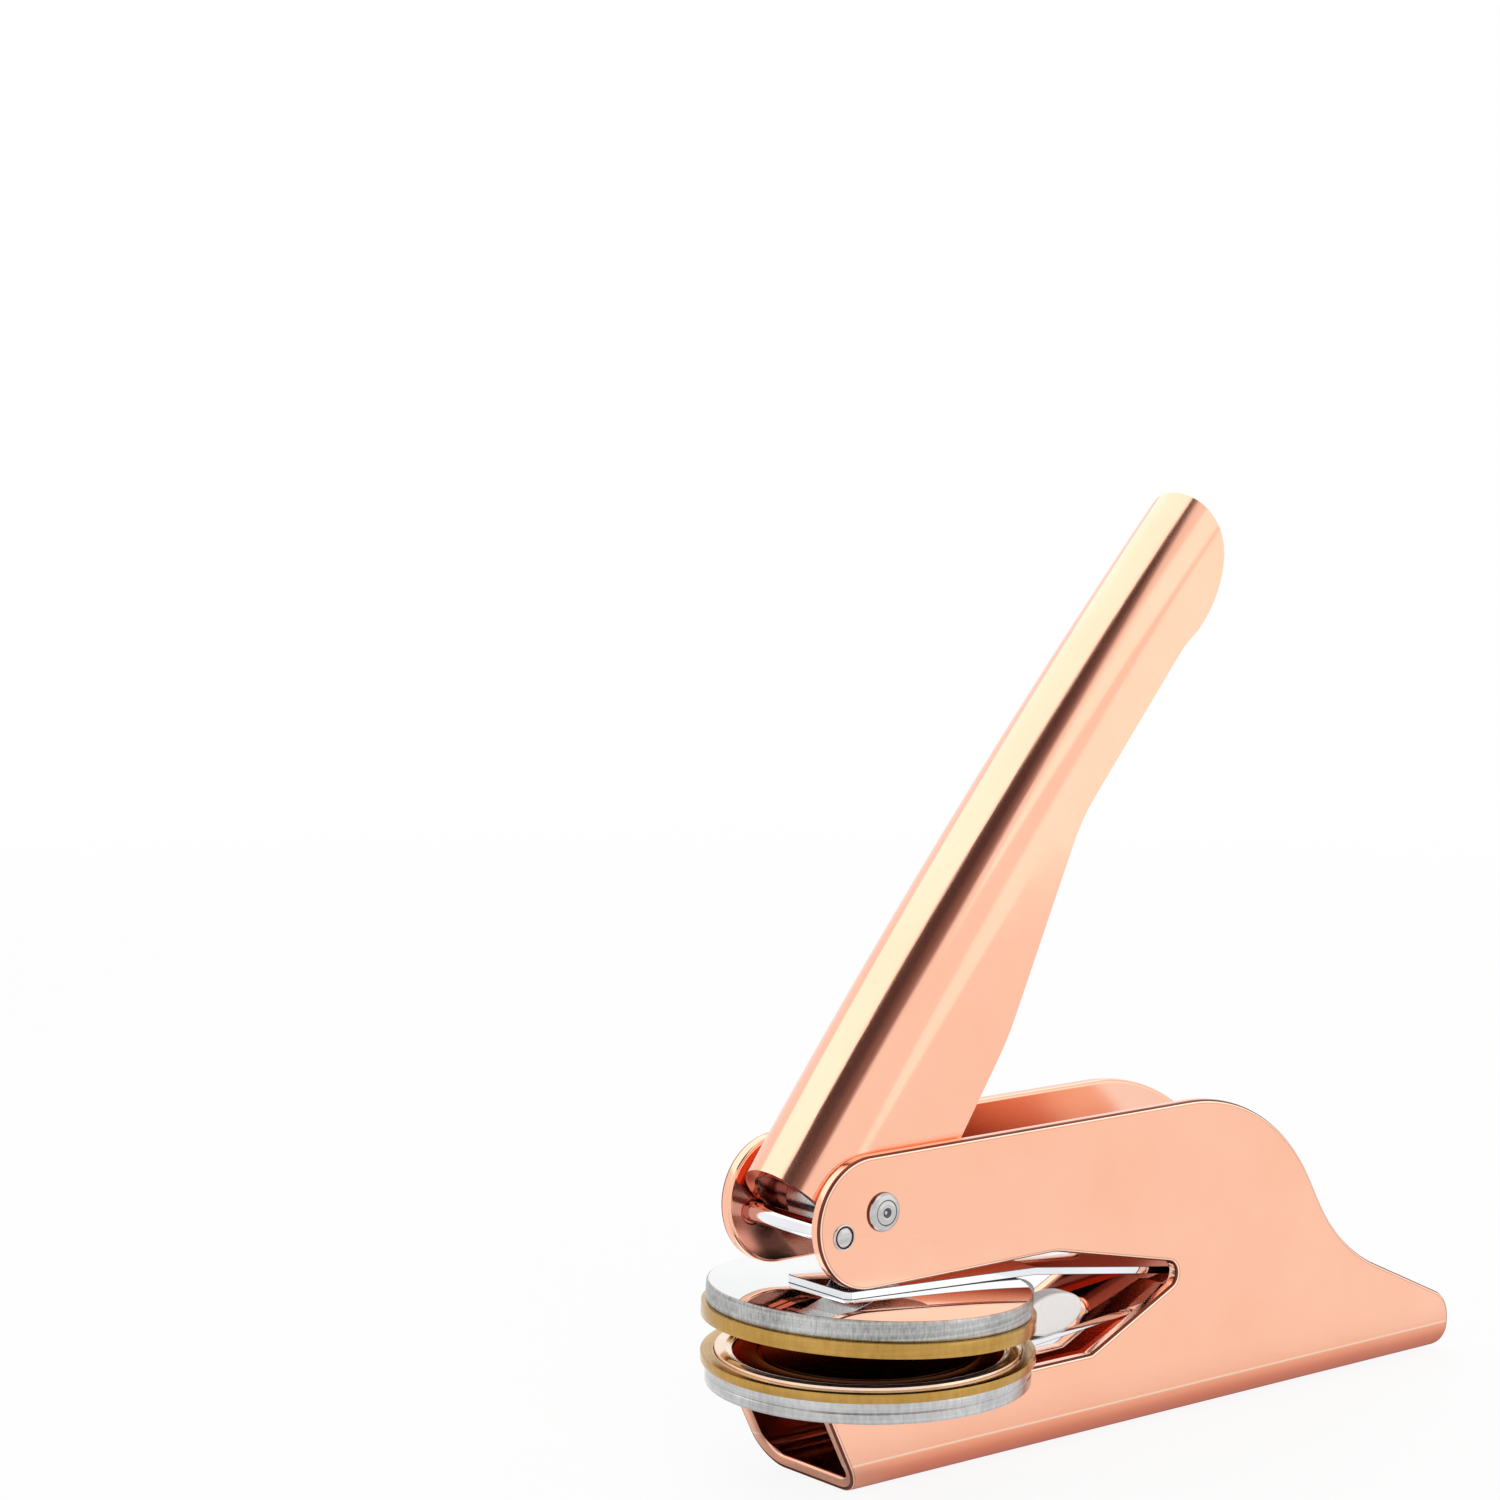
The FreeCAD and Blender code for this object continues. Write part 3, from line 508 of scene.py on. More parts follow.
def makeFrame():
    # one folded sheet: a flat plate on each side, two bends and the base between them
    values = frameSizes
    half = values["width"] / 2
    bend, tail, toe, jaw = pick(values, "bend tail toe jaw")
    outline = roundedOutline(values["outline"], values["arcStep"])

    def frontAt(height):
        return toe[0] + (jaw[0] - toe[0]) * height / jaw[1]

    upper = [point for point in outline if point.y > bend + outlineTouch]
    # the plate's outline starts at the jaw, past the gap that the base leaves in it
    start = next(index for index, point in enumerate(upper) if upper[index - 1].x - point.x > tail)
    upper = upper[start:] + upper[:start]
    points = []
    faces = []
    rows = []
    for side in (-1, 1):
        first = len(points)
        points += [(x, side * half, z) for x, z in upper]
        low = len(points)
        points += [(tail, side * half, bend), (frontAt(bend), side * half, bend)]
        ring = list(range(first, len(points)))
        faces.append(ring if side < 0 else ring[::-1])
        rows.append((low + 1, low))
    near, far = rows
    strips = [near]
    quarter = [math.radians(90) * part / values["bendSteps"] for part in range(1, values["bendSteps"] + 1)]
    for side, angles in ((-1, quarter), (1, quarter[::-1])):
        for angle in angles:
            y = side * (half - bend + bend * math.cos(angle))
            z = bend - bend * math.sin(angle)
            points += [(frontAt(z), y, z), (tail, y, z)]
            strips.append((len(points) - 2, len(points) - 1))
    strips.append(far)
    faces += bridge(strips)
    mesh = meshOf("frameShell", points, faces)
    with editing(mesh) as shape:
        faceOut(shape, -1)
    finishPiece(makeSheet("frameShell", mesh, frameFinish, frameInside, values),
                "frame", "frame_channel")


makeFrame()
print("frame made")

# lengths run along the lever from the pivot, heights from it towards the crown
leverSizes = {
    "halfWidth": 9.1, "crown": 15.4, "bow": 1170.0, "middle": 61.0, "sheet": 1.6, "edge": 0.4,
    "stations": 48, "archSteps": 28, "arcStep": 3.0, "farthest": 90.0, "halvings": 40,
    "outline": [
        (-3.5, 18.0, 0), (-5.358, 2.983, 0), (-5.358, -2.983, 1.0), (-3.4, -8.2, 2.5), (14.0, -8.2, 25.0),
        (34.0, -5.9, 40.0), (68.0, 3.5, 30.0), (101.0, 3.5, 10.0), (105.0, 2.7, 10.0), (119.8, 2.7, 17.0),
        (124.6, 18.5, 0)],
}


def makeLever():
    # one sheet with an arched back; the arch follows a long bow and the cheeks hang from it
    values = leverSizes
    half = values["halfWidth"]
    spring = values["crown"] - half
    axis = values["crown"] - values["bow"]
    stations = values["stations"]
    outline = roundedOutline(values["outline"], values["arcStep"])

    def bowed(height, along):
        return axis + math.sqrt((height - axis) ** 2 - (along - values["middle"]) ** 2)

    def reach(height, direction):
        near, far = values["middle"], values["middle"] + direction * values["farthest"]
        for _ in range(values["halvings"]):
            middle = (near + far) / 2
            if isInside(outline, middle, bowed(height, middle)):
                near = middle
            else:
                far = middle
        return near

    points = []
    rows = []
    for part in range(values["archSteps"] + 1):
        angle = math.pi * part / values["archSteps"]
        height = spring + half * math.sin(angle)
        start, finish = reach(height, -1), reach(height, 1)
        row = []
        for station in range(stations + 1):
            along = start + (finish - start) * station / stations
            row.append(len(points))
            points.append((along, -half * math.cos(angle), bowed(height, along)))
        rows.append(row)
    faces = bridge(rows)
    below = [point for point in outline if point.y < bowed(spring, point.x) - outlineTouch]
    for row, side in ((rows[0], -1), (rows[-1], 1)):
        first = len(points)
        points += [(x, side * half, z) for x, z in below]
        ring = list(range(first, len(points))) + row[::-1]
        faces.append(ring if side < 0 else ring[::-1])
    mesh = meshOf("leverShell", points, faces)
    with editing(mesh) as shape:
        bmesh.ops.remove_doubles(shape, verts=shape.verts, dist=meshTouch)
        faceOut(shape, 1)
        # the cheeks' long outlines are filled with well-shaped triangles
        cheeks = [face for face in shape.faces if len(face.verts) > 4]
        bmesh.ops.triangulate(shape, faces=cheeks, quad_method="BEAUTY", ngon_method="BEAUTY")
    mesh.transform(leverPlace)
    finishPiece(makeSheet("leverShell", mesh, leverFinish, leverInside, values),
                "handle", "handle_lever")


makeLever()
print("lever made")


def newTree(name, inputs, output):
    tree = bpy.data.node_groups.new(name, "GeometryNodeTree")
    for socket, kind in inputs:
        tree.interface.new_socket(socket, in_out="INPUT", socket_type="NodeSocket" + kind)
    tree.interface.new_socket(output, in_out="OUTPUT", socket_type="NodeSocketGeometry")
    return tree, tree.nodes.new("NodeGroupInput").outputs


def closeTree(tree, geometry, finish):
    # the export takes real geometry only, with its finish on it
    real = addNode(tree, "GeometryNodeRealizeInstances", {"Geometry": geometry}).outputs["Geometry"]
    coloured = addNode(tree, "GeometryNodeSetMaterial", {"Geometry": real, "Material": finish})
    link(tree, coloured.outputs["Geometry"], tree.nodes.new("NodeGroupOutput").inputs[0])
    return tree


def turnedTree():
    # turns a half section about its Z axis; the rim may carry fine flutes
    tree, given = newTree("turnedSection", [
        ("Section", "Geometry"), ("Steps", "Int"), ("Flutes", "Int"), ("Flute Depth", "Float"),
        ("Finish", "Material")], "Turned")
    rows = addNode(tree, "GeometryNodeAttributeDomainSize", {"Geometry": given["Section"]},
                   component="MESH").outputs["Point Count"]
    grid = addNode(tree, "GeometryNodeMeshGrid", {"Vertices X": calc(tree, "ADD", given["Steps"], 1.0),
                                                  "Vertices Y": rows})
    index = tree.nodes.new("GeometryNodeInputIndex").outputs["Index"]
    column = calc(tree, "FLOOR", calc(tree, "DIVIDE", calc(tree, "ADD", index, 0.5), rows))
    row = calc(tree, "SUBTRACT", index, calc(tree, "MULTIPLY", column, rows))
    position = tree.nodes.new("GeometryNodeInputPosition").outputs["Position"]
    section = addNode(tree, "GeometryNodeSampleIndex", {
        "Geometry": given["Section"], "Value": position, "Index": row},
        data_type="FLOAT_VECTOR", domain="POINT").outputs["Value"]
    parts = partsOf(tree, section)
    angle = calc(tree, "MULTIPLY", calc(tree, "DIVIDE", column, given["Steps"]), math.tau)
    ripple = calc(tree, "MULTIPLY", calc(tree, "SINE", calc(tree, "MULTIPLY", angle, given["Flutes"])),
                  given["Flute Depth"])
    # the section's own Y says how much of the flutes a point takes
    radius = calc(tree, "ADD", parts["X"], calc(tree, "MULTIPLY", ripple, parts["Y"]))
    moved = joined(tree, calc(tree, "MULTIPLY", radius, calc(tree, "COSINE", angle)),
                   calc(tree, "MULTIPLY", radius, calc(tree, "SINE", angle)), parts["Z"])
    placed = addNode(tree, "GeometryNodeSetPosition", {"Geometry": grid.outputs["Mesh"], "Position": moved})
    closed = addNode(tree, "GeometryNodeMergeByDistance", {
        "Geometry": placed.outputs["Geometry"], "Distance": 2 * meshTouch})
    return closeTree(tree, closed.outputs["Geometry"], given["Finish"])


def rowTree():
    # one shaped head on each given place
    tree, given = newTree("repeatedHeads", [
        ("Places", "Geometry"), ("Head", "Object"), ("Size", "Float"), ("Finish", "Material")], "Heads")
    head = addNode(tree, "GeometryNodeObjectInfo", {"Object": given["Head"]})
    scatter = addNode(tree, "GeometryNodeInstanceOnPoints", {
        "Points": given["Places"], "Instance": head.outputs["Geometry"], "Scale": given["Size"]})
    return closeTree(tree, scatter.outputs["Instances"], given["Finish"])


turnedSection = turnedTree()
repeatedHeads = rowTree()


def grow(piece, tree, values):
    # runs a tree on the piece and keeps the result as its plain mesh
    modifier = piece.modifiers.new(tree.name, "NODES")
    modifier.node_group = tree
    sockets = {item.name: item.identifier for item in tree.interface.items_tree if item.in_out == "INPUT"}
    for name, value in values.items():
        modifier[sockets[name]] = value
    settle(piece)


def softened(section, radius, pull=0.3):
    # half section (r, z, edge) in mm, from the axis out and back to it; an edge of 1 gets a small chamfer
    points = []
    for index, (r, z, edge) in enumerate(section):
        here = Vector((r, z))
        if not edge:
            points.append(here)
            continue
        before = (Vector(section[index - 1][:2]) - here).normalized()
        after = (Vector(section[index + 1][:2]) - here).normalized()
        points += [here + before * radius, here + (before + after) * radius * pull, here + after * radius]
    return points


# flutes: how many, how deep, between which heights and beyond which radius
plainRim = {"count": 0, "depth": 0.0, "low": 0.0, "high": 0.0, "beyond": 0.0}


def turnPiece(name, section, material, placeBy=Matrix(), steps=144, edge=0.18, flutes=plainRim, sharp=25.0):
    points = []
    for r, z in softened(section, edge):
        fluted = 1.0 if flutes["low"] < z < flutes["high"] and r > flutes["beyond"] else 0.0
        points.append((r * mm, fluted, z * mm))
    mesh = bpy.data.meshes.new(name)
    mesh.from_pydata(points, [(index, index + 1) for index in range(len(points) - 1)], [])
    piece = newPiece(name, mesh, material)
    grow(piece, turnedSection, {
        "Steps": steps, "Flutes": flutes["count"], "Flute Depth": flutes["depth"] * mm, "Finish": material})
    with editing(piece.data) as shape:
        loose = [vertex for vertex in shape.verts if not vertex.link_faces]
        bmesh.ops.delete(shape, geom=loose, context="VERTS")
        faceOut(shape)
        for sharpEdge in shape.edges:
            sharpEdge.smooth = sharpEdge.calc_face_angle(0) < math.radians(sharp)
    smooth(piece.data)
    piece.data.transform(placeBy)
    return piece


def paint(piece, finish, chosen):
    # gives the chosen faces a finish of their own
    piece.data.materials.append(finish)
    faces = [polygon for polygon in piece.data.polygons if chosen(polygon)]
    for polygon in faces:
        polygon.material_index = len(piece.data.materials) - 1
    print(piece.name, "faces in", finish.name + ":", len(faces))


def sink(piece, cutter):
    # cuts a shape out of a piece
    cut = piece.modifiers.new("cut", "BOOLEAN")
    cut.object = cutter
    settle(piece)
    bpy.data.objects.remove(cutter)


def boxOf(low, high):
    corners = [(x, y, z) for x in (low[0], high[0]) for y in (low[1], high[1]) for z in (low[2], high[2])]
    faces = [(0, 1, 3, 2), (4, 6, 7, 5), (0, 4, 5, 1), (2, 3, 7, 6), (0, 2, 6, 4), (1, 5, 7, 3)]
    return newPiece("cutter", meshOf("cutter", corners, faces), steelFinish)


discSizes = {
    "steps": 180, "holderRadius": 24.35, "dieRadius": 25.0,
    # lower holder, with a groove round its middle and a slot for the arm
    "foot": 13.4, "lowerTop": 16.6, "groove": 0.16,
    "armHalf": 7.3, "slotTop": 15.8, "slotFront": -10.5, "past": 1.0,
    # upper holder, its rim fluted between two plain lands
    "upperJoint": 20.3, "upperTop": 23.4, "upperEdge": 0.3, "landLow": 0.5, "landHigh": 0.8,
    "flutedSteps": 1500, "upwards": 0.98,
    "flutes": {"count": 300, "depth": 0.035, "low": 20.55, "high": 22.9, "beyond": 24.0},
    # brass plates
    "seat": 17.1, "dieTop": 18.0, "bore": 23.0, "upperFoot": 18.1, "recess": 18.7, "mouth": 23.3,
    "plateEdge": 0.12,
    # ring with a stepped lip: how far in and how far down each step lies
    "ringOut": 22.9, "ringIn": 20.3, "ringTop": 18.4, "lip": [(0.9, 0.0), (0.45, 0.3), (0.0, 0.45)],
    # die faces, the lower one with a shallow groove
    "faceRadius": 20.2, "faceTop": 17.6, "faceEdge": 0.08, "faceGroove": (15.8, 16.6), "grooveDepth": 0.25,
    "counter": 19.6, "counterFoot": 17.75,
}


def makeDiscs():
    values = discSizes
    holder, die, steps, plateEdge = pick(values, "holderRadius dieRadius steps plateEdge")
    foot, lowerTop, groove, upperJoint, upperTop = pick(values, "foot lowerTop groove upperJoint upperTop")
    seat, dieTop, bore, recess = pick(values, "seat dieTop bore recess")
    middle = (foot + lowerTop) / 2
    lower = turnPiece("lowerHolderDisc", [
        (0, foot, 0), (holder, foot, 1), (holder, middle - groove, 0), (holder - groove, middle, 0),
        (holder, middle + groove, 0), (holder, lowerTop, 1), (0, lowerTop, 0)], aluminiumFinish, steps=steps)
    sink(lower, boxOf((values["slotFront"], -values["armHalf"], foot - values["past"]),
                      (holder + values["past"], values["armHalf"], values["slotTop"])))
    finishPiece(lower, "insert", "lower_holder")
    upper = turnPiece("upperHolderDisc", [
        (0, upperJoint, 0), (holder, upperJoint, 1), (holder, upperJoint + values["landLow"], 0),
        (holder, upperTop - values["landHigh"], 0), (holder, upperTop, 1), (0, upperTop, 0)],
        milledFinish, openPlace, values["flutedSteps"], values["upperEdge"], values["flutes"])
    paint(upper, mirrorFinish, lambda polygon: polygon.normal.z > values["upwards"])
    finishPiece(upper, "upper_die", "upper_holder")
    plate = turnPiece("lowerBrassPlate", [
        (0, lowerTop, 0), (die, lowerTop, 1), (die, dieTop, 1), (bore, dieTop, 1), (bore, seat, 0),
        (0, seat, 0)], brassFinish, steps=steps, edge=plateEdge)
    finishPiece(plate, "insert", "lower_die_plate")
    ringIn, ringOut, ringTop = pick(values, "ringIn ringOut ringTop")
    lip = [(ringIn + across, ringTop - down, 1) for across, down in values["lip"]]
    ring = turnPiece("lowerCopperRing", [
        (ringIn, seat, 0), (ringOut, seat, 0), (ringOut, ringTop, 1), *lip, (ringIn, seat, 0)],
        copperFinish, steps=steps, edge=plateEdge)
    finishPiece(ring, "insert", "lower_die_ring")
    faceRadius, faceTop = pick(values, "faceRadius faceTop")
    grooveIn, grooveOut = values["faceGroove"]
    grooveFloor = faceTop - values["grooveDepth"]
    face = turnPiece("lowerDieFace", [
        (0, seat, 0), (faceRadius, seat, 0), (faceRadius, faceTop, 1), (grooveOut, faceTop, 1),
        (grooveOut, grooveFloor, 0), (grooveIn, grooveFloor, 0), (grooveIn, faceTop, 1), (0, faceTop, 0)],
        dieFinish, steps=steps, edge=values["faceEdge"])
    finishPiece(face, "insert", "lower_die_face")
    upperFoot, mouth, counter, counterFoot = pick(values, "upperFoot mouth counter counterFoot")
    upperPlate = turnPiece("upperBrassPlate", [
        (0, recess, 0), (mouth, recess, 0), (mouth, upperFoot, 1), (die, upperFoot, 1), (die, upperJoint, 1),
        (0, upperJoint, 0)], brassFinish, openPlace, steps, plateEdge)
    finishPiece(upperPlate, "upper_die", "upper_die_plate")
    counterFace = turnPiece("upperDieFace", [
        (0, counterFoot, 0), (counter, counterFoot, 1), (counter, recess, 0), (0, recess, 0)],
        counterFinish, openPlace)
    finishPiece(counterFace, "upper_die", "upper_die_face")


makeDiscs()
print("discs made")

pinSizes = {
    "plate": 11.6, "justInside": 0.01, "sharp": 60,
    # domes: share of the head's radius, share of its rise, and 1 for a chamfered edge
    "pivot": {"shank": 2.0, "head": 2.9, "rise": 1.0, "steps": 96, "edge": 0.14,
              "dome": [(1.0, 0.35, 1), (0.86, 0.66, 0), (0.66, 0.88, 0), (0.60, 0.84, 0), (0.54, 0.93, 0),
                       (0.36, 0.99, 0), (0.26, 0.96, 0), (0.17, 0.74, 0), (0.09, 0.62, 0), (0, 0.66, 0)]},
    "stop": {"shank": 1.5, "head": 1.95, "rise": 0.45, "steps": 72, "edge": 0.08,
             "dome": [(1.0, 0.45, 1), (0.86, 0.5, 0), (0.82, 0.1, 0), (0.76, 0.1, 0), (0.72, 0.6, 0),
                      (0.5, 0.9, 0), (0.2, 1.0, 0), (0, 1.0, 0)]},
    # a low collar on the stop pin at each cheek's side of the plates
    "inner": 9.4, "collar": 2.1, "collarLength": 0.22, "collarGap": 0.05,
    # rings of painted shade, as shares of the head's radius
    "stopShadeRing": (0.72, 0.88), "dimpleShadeRings": [(0.12, 0.25), (0.60, 0.66)], "flange": 0.985, "flangeRise": 0.30,
}


def mirrored(half):
    # half section of a pin seen from its middle out; the other end is the same
    return [(r, -z, edge) for r, z, edge in half[::-1]] + half


def pinPiece(name, finish, pin, middle):
    # the middle of the shank, its end at the plate, and the domed head from there
    values = pinSizes[pin]
    head, plate = values["head"], pinSizes["plate"]
    dome = [(across * head, plate + up * values["rise"], edge) for across, up, edge in values["dome"]]
    half = middle + [(values["shank"], plate, 0), (head, plate, 0)] + dome
    return turnPiece(name, mirrored(half), finish, place(places[pin]) @ acrossPlace, values["steps"],
                     values["edge"], sharp=pinSizes["sharp"])


def makePins():
    values = pinSizes
    plate, inner, collar = pick(values, "plate inner collar")
    shank = values["stop"]["shank"]
    headFrom = plate - values["justInside"]

    def outFrom(polygon, pin):
        # how far from the pin's axis a face lies, in mm
        return math.hypot(polygon.center.x / mm - places[pin][0], polygon.center.z / mm - places[pin][2])

    def inRing(polygon, pin, ring):
        low, high = [share * values[pin]["head"] for share in ring]
        return low < outFrom(polygon, pin) < high

    def acrossOf(polygon):
        return abs(polygon.center.y) / mm

    def inDimpleShade(polygon):
        return any(inRing(polygon, "pivot", ring) for ring in values["dimpleShadeRings"])

    pivot = pinPiece("pivotRivet", pivotFinish, "pivot", [])
    finishPiece(pivot, "frame", "pivot_rivet")
    start = inner - values["collarLength"]
    stop = pinPiece("stopPin", chromeFinish, "stop", [
        (shank, start, 0), (collar, start, 1), (collar, inner, 0), (shank, inner, 0)])
    paint(stop, stopFinish, lambda polygon: acrossOf(polygon) > headFrom)
    # a painted shade ring in the groove of the stop's head
    paint(stop, edgeDeepShade, lambda polygon: acrossOf(polygon) > headFrom
          and inRing(polygon, "stop", values["stopShadeRing"]))
    # the collars take the lever's shaded inner finish: a painted dark reflection ring beside the plates
    paint(stop, leverInside, lambda polygon: acrossOf(polygon) < headFrom
          and outFrom(polygon, "stop") > shank + values["collarGap"])
    # a painted shadow ring round the foot of the pivot head
    paint(pivot, edgeDeepShade, lambda polygon: acrossOf(polygon) < plate + values["flangeRise"]
          and outFrom(polygon, "pivot") > values["flange"] * values["pivot"]["head"])
    # painted shade in the pivot head's dimple and groove
    paint(pivot, chromeShade, inDimpleShade)
    finishPiece(stop, "frame", "stop_pin")


makePins()
print("pins made")


flatWithin = math.radians(0.3)


def dressedCopy(node, name, material, width, own):
    # a merged copy of a CAD node, its flats cleaned and its edges rounded
    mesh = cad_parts[node].data.copy()
    mesh.name = name
    with editing(mesh) as shape:
        bmesh.ops.remove_doubles(shape, verts=shape.verts, dist=meshTouch)
        bmesh.ops.dissolve_limit(shape, angle_limit=flatWithin, verts=shape.verts, edges=shape.edges)
    smooth(mesh)
    piece = newPiece(name, mesh, material)
    addBevel(piece, width, "strip", own)
    return settle(piece)


dressed = [
    # node, piece, finish, edge width, edge finish, body, slot
    # the edge finish paints the chrome pieces' rounded edges dark, a painted shade line
    ("upper_leaf", "springLeaf", chromeFinish, 0.15, chromeShade, "upper_die", "polished_steel"),
    ("lower_arm", "clipArm", chromeFinish, 0.15, chromeShade, "insert", "polished_steel"),
    ("leaf_root", "leafRoot", chromeFinish, 0.15, chromeShade, "insert", "polished_steel"),
    ("press_cam", "pressCam", steelFinish, 0.3, None, "handle", "turned_steel"),
]
for node, name, finish, width, own, body, slot in dressed:
    finishPiece(dressedCopy(node, name, finish, width, own), body, node)

# nodes that are shown as they are, in a finish of their own
plain = {
    "cam_bush": steelFinish, "pivot_spacers": steelFinish, "cam_rivet_spacers": steelFinish,
    "cam_rivet": steelFinish, "lower_holder_rivets": steelFinish, "stop_rivet": steelFinish,
    "upper_holder_rivets": chromeFinish,
}
for node, finish in plain.items():
    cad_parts[node].data.materials.clear()
    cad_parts[node].data.materials.append(finish)
print("clip and inner pieces dressed")

paperStopSizes = {
    "seat": (31.6, 0.0, 16.26), "tilt": 4.7, "half": 6.2, "rise": 3.2, "flat": 0.15, "end": 7.0, "lip": 3.4,
    "core": 0.42, "coreLift": 0.3, "steps": 64, "edge": 0.45,
}


def makePaperStop():
    # a bobbin of oval section: two broad ends with a slimmer bar between them, all on the arm's slope
    values = paperStopSizes
    steps, end, core = values["steps"], values["end"], (values["core"], values["coreLift"])
    inner = end - values["lip"]
    stations = [(-end, 1, 0), (-inner, 1, 0), (-inner, *core), (inner, *core), (inner, 1, 0), (end, 1, 0)]
    points = []
    for y, share, lift in stations:
        for step in range(steps):
            angle = math.tau * step / steps
            height = values["rise"] * (1 + share * math.sin(angle)) - values["flat"]
            points.append((values["half"] * share * math.cos(angle), y, max(lift, height)))
    rows = [[*range(first, first + steps), first] for first in range(0, len(points), steps)]
    faces = bridge(rows) + [rows[0][:-1], rows[-1][:-1]]
    mesh = meshOf("paperStop", points, faces)
    with editing(mesh) as shape:
        faceOut(shape)
    smooth(mesh)
    mesh.transform(place(values["seat"]) @ turnAbout("Y", -values["tilt"]))
    piece = newPiece("paperStop", mesh, nylonFinish)
    addBevel(piece, values["edge"], "moulded")
    finishPiece(settle(piece), "insert", "paper_stop")


clipRivetSizes = {
    "places": [(81.5, 0.0, 16.6), (86.9, 0.0, 16.6)], "head": 2.2, "shank": 1.25, "rise": 0.8, "length": 4.0,
    "dome": [(0, 0, 0), (0.5, 0.08, 0), (0.85, 0.45, 0), (1, 1, 1)], "steps": 64, "edge": 0.08, "sharp": 50,
}


def makeClipRivets():
    # two domed rivets that clamp the tail of the leaf on the arm
    values = clipRivetSizes
    head, rise, length = pick(values, "head rise length")
    dome = [(across * head, up * rise, edge) for across, up, edge in values["dome"]]
    dome.append((values["shank"], rise, 0))
    section = dome + [(r, length - z, edge) for r, z, edge in dome[::-1]]
    shaped = turnPiece("clipRivetHead", section, steelFinish, steps=values["steps"], edge=values["edge"],
                       sharp=values["sharp"])
    rivets = newPiece("clipRivets", meshOf("clipRivets", values["places"], []), steelFinish)
    grow(rivets, repeatedHeads, {"Head": shaped, "Size": 1.0, "Finish": steelFinish})
    bpy.data.objects.remove(shaped)
    finishPiece(rivets, "insert", "clip_rivets")


makePaperStop()
makeClipRivets()
print("paper stop and clip rivets made")

# the studio is in metres and watts; a pair of distances says where a change starts and ends
studio = {
    "pale": {"light": (0.90, 0.90, 0.90), "roughLow": 0.6}, "floorSize": 12.0,
    "floorSeen": (0.90, 1.0), "seenAway": (0.15, 0.9), "mirroredAside": (0.013, 0.034),
    # the floor as the polished fold mirrors it: deep warm shade under the fold, clearing away from it
    "foldShade": [(0.007, (0.16, 0.06, 0.05)), (0.009, (0.48, 0.25, 0.22)), (0.012, (0.62, 0.39, 0.35)),
                  (0.015, (0.78, 0.56, 0.50)), (0.021, (0.86, 0.72, 0.66)), (0.030, (1, 1, 1))],
    "shadeAside": (0.022, 0.030), "shadeFront": (-0.010, 0.0),
    "plain": 0.60, "shown": 1.0,
    "cameraPlace": (-0.32119, -0.37846, 0.15480), "forward": (0.6169, 0.7813, -0.0950),
    "lens": 81.6, "nearest": 0.01,
    "lamps": [
        # name, place, what it faces, size, watts
        ("backSoftbox", (-0.08, 0.254, 0.48), (-0.08, -0.066, 0.095), (1.35, 0.55), 1.51),
        ("sideSoftbox", (0.40, -0.46, 0.24), (0.03, 0.0, 0.24), (0.60, 0.46), 0.26),
        ("topSoftbox", (0.02, -0.50, 0.66), (0.05, 0.0, 0.12), (0.40, 0.34), 0.16),
        ("frontFill", (-0.35, -0.95, 0.60), (0.03, 0.0, 0.05), (0.8, 0.8), 4.0),
    ],
    "unseenLamp": "frontFill",
}
# a dark opening in the tent above, which draws the dark band along the lever; its front edge fades
flag = {
    "height": 0.60, "steps": 12, "dark": (0.085, 0.05, 0.05), "middle": (0.30, 0.19, 0.18),
    "middleRange": (0.35, 0.85), "clearRange": (0.85, 1.0),
    "back": [(-0.62, 0.04), (-0.42, 0.04), (-0.25, 0.02), (-0.15, 0.02), (-0.06, 0.01)],
    "front": [(-0.62, -0.68), (-0.42, -0.62), (-0.25, -0.52), (-0.15, -0.27), (-0.06, -0.02)],
}
white = (1, 1, 1)


def glowOf(tree, colour):
    return addNode(tree, "ShaderNodeEmission", {"Color": colour}).outputs["Emission"]


def mixOf(tree, factor, first, second):
    return addNode(tree, "ShaderNodeMixShader", {0: factor, 1: first, 2: second}).outputs["Shader"]


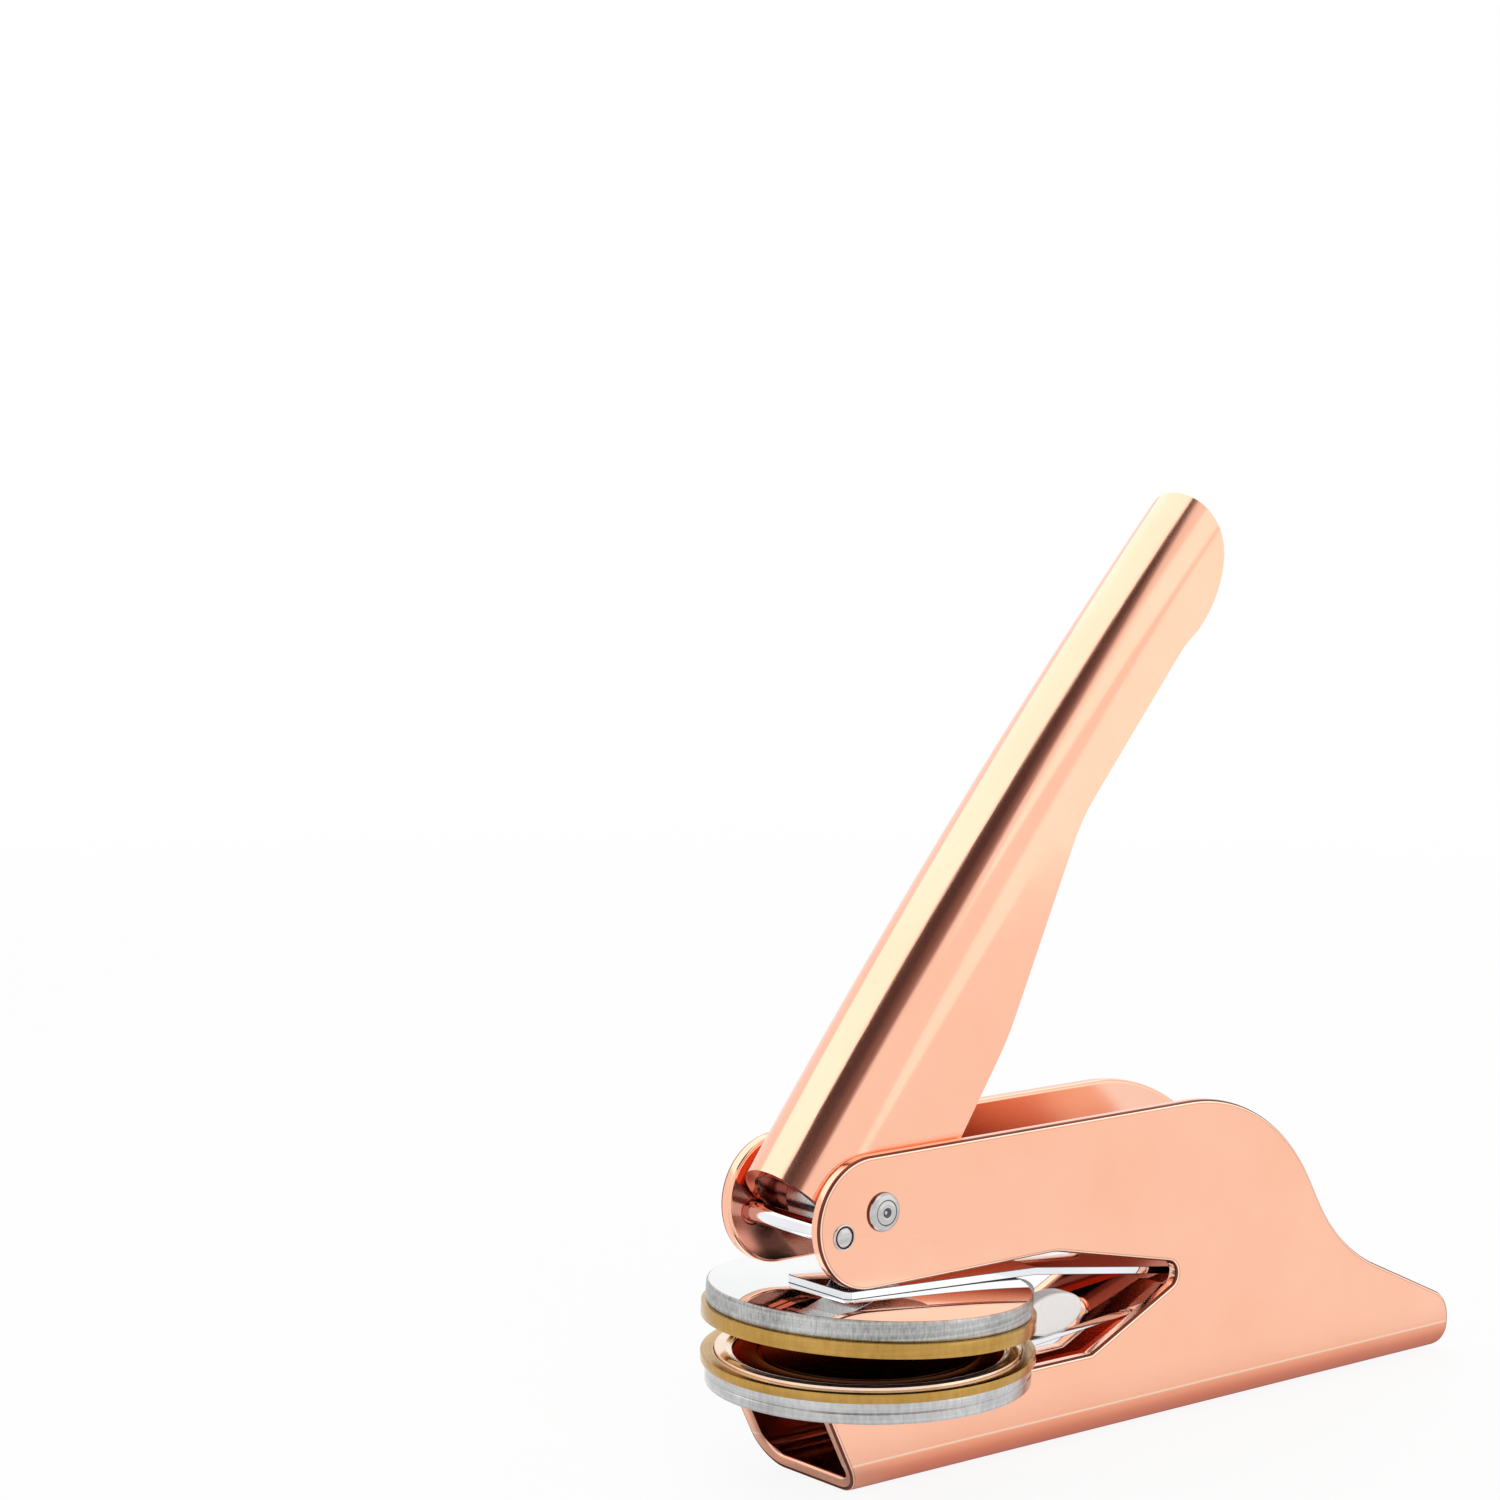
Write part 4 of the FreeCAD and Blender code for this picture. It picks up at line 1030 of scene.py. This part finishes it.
def makeFloor():
    size = studio["floorSize"]
    corners = [(-size, -size, 0), (size, -size, 0), (size, size, 0), (-size, size, 0)]
    mesh = meshOf("floor", corners, [(0, 1, 2, 3)], 1)
    finish, tree, shader = newMaterial("paleFloor", studio["pale"], 0.0)
    ground = pointsOf(tree)
    parts = partsOf(tree, ground)
    aside = calc(tree, "ABSOLUTE", parts["Y"])
    rays = tree.nodes.new("ShaderNodeLightPath").outputs
    # seen directly or in a reflection, the floor goes over into the white backdrop away from the object
    seen = calc(tree, "MULTIPLY", rays["Is Camera Ray"],
                spread(tree, radiusOf(tree, ground), *studio["floorSeen"], *studio["seenAway"]))
    mirroredRay = calc(tree, "MAXIMUM", rays["Is Glossy Ray"], rays["Is Transmission Ray"])
    mirroredShare = calc(tree, "MULTIPLY", mirroredRay, spread(tree, aside, 0, 1, *studio["mirroredAside"]))
    cleared = mixOf(tree, calc(tree, "ADD", seen, mirroredShare), shader.outputs["BSDF"],
                    glowOf(tree, (*white, 1)))
    # close under the fold a mirrored ray finds the floor in deep shade
    stops = studio["foldShade"]
    start, end = stops[0][0], stops[-1][0]
    ramp = addNode(tree, "ShaderNodeValToRGB", {"Fac": spread(tree, aside, 0, 1, start, end)})
    elements = ramp.color_ramp.elements
    for index, (distance, colour) in enumerate(stops):
        share = (distance - start) / (end - start)
        stop = elements[index] if index < 2 else elements.new(share)
        stop.position = share
        stop.color = (*colour, 1)
    strip = calc(tree, "MULTIPLY", spread(tree, aside, 1, 0, *studio["shadeAside"]),
                 spread(tree, parts["X"], 0, 1, *studio["shadeFront"]))
    shaded = mixOf(tree, calc(tree, "MULTIPLY", rays["Is Glossy Ray"], strip), cleared,
                   glowOf(tree, ramp.outputs["Color"]))
    link(tree, shaded, tree.nodes["Material Output"].inputs["Surface"])
    newPiece("floor", mesh, finish)


def makeWorld():
    # plain light on the object, and white where the backdrop is seen or mirrored
    world = bpy.data.worlds.new("studioWorld")
    scene.world = world
    world.use_nodes = True
    tree = world.node_tree
    tree.nodes.clear()
    rays = tree.nodes.new("ShaderNodeLightPath").outputs
    direct = calc(tree, "MAXIMUM", rays["Is Camera Ray"], rays["Is Glossy Ray"])
    levels = [addNode(tree, "ShaderNodeBackground", {"Color": (*white, 1), "Strength": studio[level]})
              for level in ("plain", "shown")]
    light = mixOf(tree, calc(tree, "MAXIMUM", direct, rays["Is Transmission Ray"]),
                  *[level.outputs["Background"] for level in levels])
    link(tree, light, tree.nodes.new("ShaderNodeOutputWorld").inputs["Surface"])


def makeLamps():
    for name, location, aim, (width, height), watts in studio["lamps"]:
        lamp = bpy.data.lights.new(name, "AREA")
        lamp.shape = "RECTANGLE"
        lamp.size = width
        lamp.size_y = height
        lamp.energy = watts
        direction = (Vector(aim) - Vector(location)).normalized()
        facing = direction.to_track_quat("-Z", "Y").to_matrix().to_4x4()
        holder = bpy.data.objects.new(name, lamp)
        holder.matrix_world = Matrix.Translation(location) @ facing
        holder.visible_camera = False
        holder.visible_glossy = name != studio["unseenLamp"]
        scene.collection.objects.link(holder)


def makeFlag():
    steps = flag["steps"]
    rows = steps + 1
    points = []
    for back, front in zip(flag["back"], flag["front"]):
        for step in range(rows):
            x, y = Vector(back).lerp(Vector(front), step / steps)
            points.append((x, y, flag["height"]))
    faces = bridge([range(first, first + rows) for first in range(0, len(points), rows)])
    mesh = meshOf("darkCard", points, faces, 1)
    fade = mesh.attributes.new("fade", "FLOAT", "POINT")
    fade.data.foreach_set("value", [index % rows / steps for index in range(len(points))])
    finish, tree, _ = newMaterial("darkCard", studio["pale"], 0.0)
    share = addNode(tree, "ShaderNodeAttribute", {}, attribute_name="fade").outputs["Fac"]
    inner = blendOf(tree, spread(tree, share, 0, 1, *flag["middleRange"]), flag["dark"], flag["middle"])
    shown = blendOf(tree, spread(tree, share, 0, 1, *flag["clearRange"]), inner, white)
    link(tree, glowOf(tree, shown), tree.nodes["Material Output"].inputs["Surface"])
    card = newPiece("darkCard", mesh, finish)
    # only reflections show the card, so it takes no light from the object
    for ray in ("camera", "diffuse", "transmission", "volume_scatter", "shadow"):
        setattr(card, "visible_" + ray, False)


def makeCamera():
    data = bpy.data.cameras.new("viewer")
    data.lens = studio["lens"]
    data.sensor_fit = "HORIZONTAL"
    data.clip_start = studio["nearest"]
    camera = bpy.data.objects.new("viewer", data)
    forward = Vector(studio["forward"]).normalized()
    right = forward.cross(Vector((0, 0, 1))).normalized()
    turned = Matrix((right, right.cross(forward), -forward)).transposed().to_4x4()
    camera.matrix_world = Matrix.Translation(studio["cameraPlace"]) @ turned
    scene.collection.objects.link(camera)
    scene.camera = camera
    scene.view_settings.view_transform = "Standard"


makeFloor()
makeWorld()
makeLamps()
makeFlag()
makeCamera()
print("studio made")
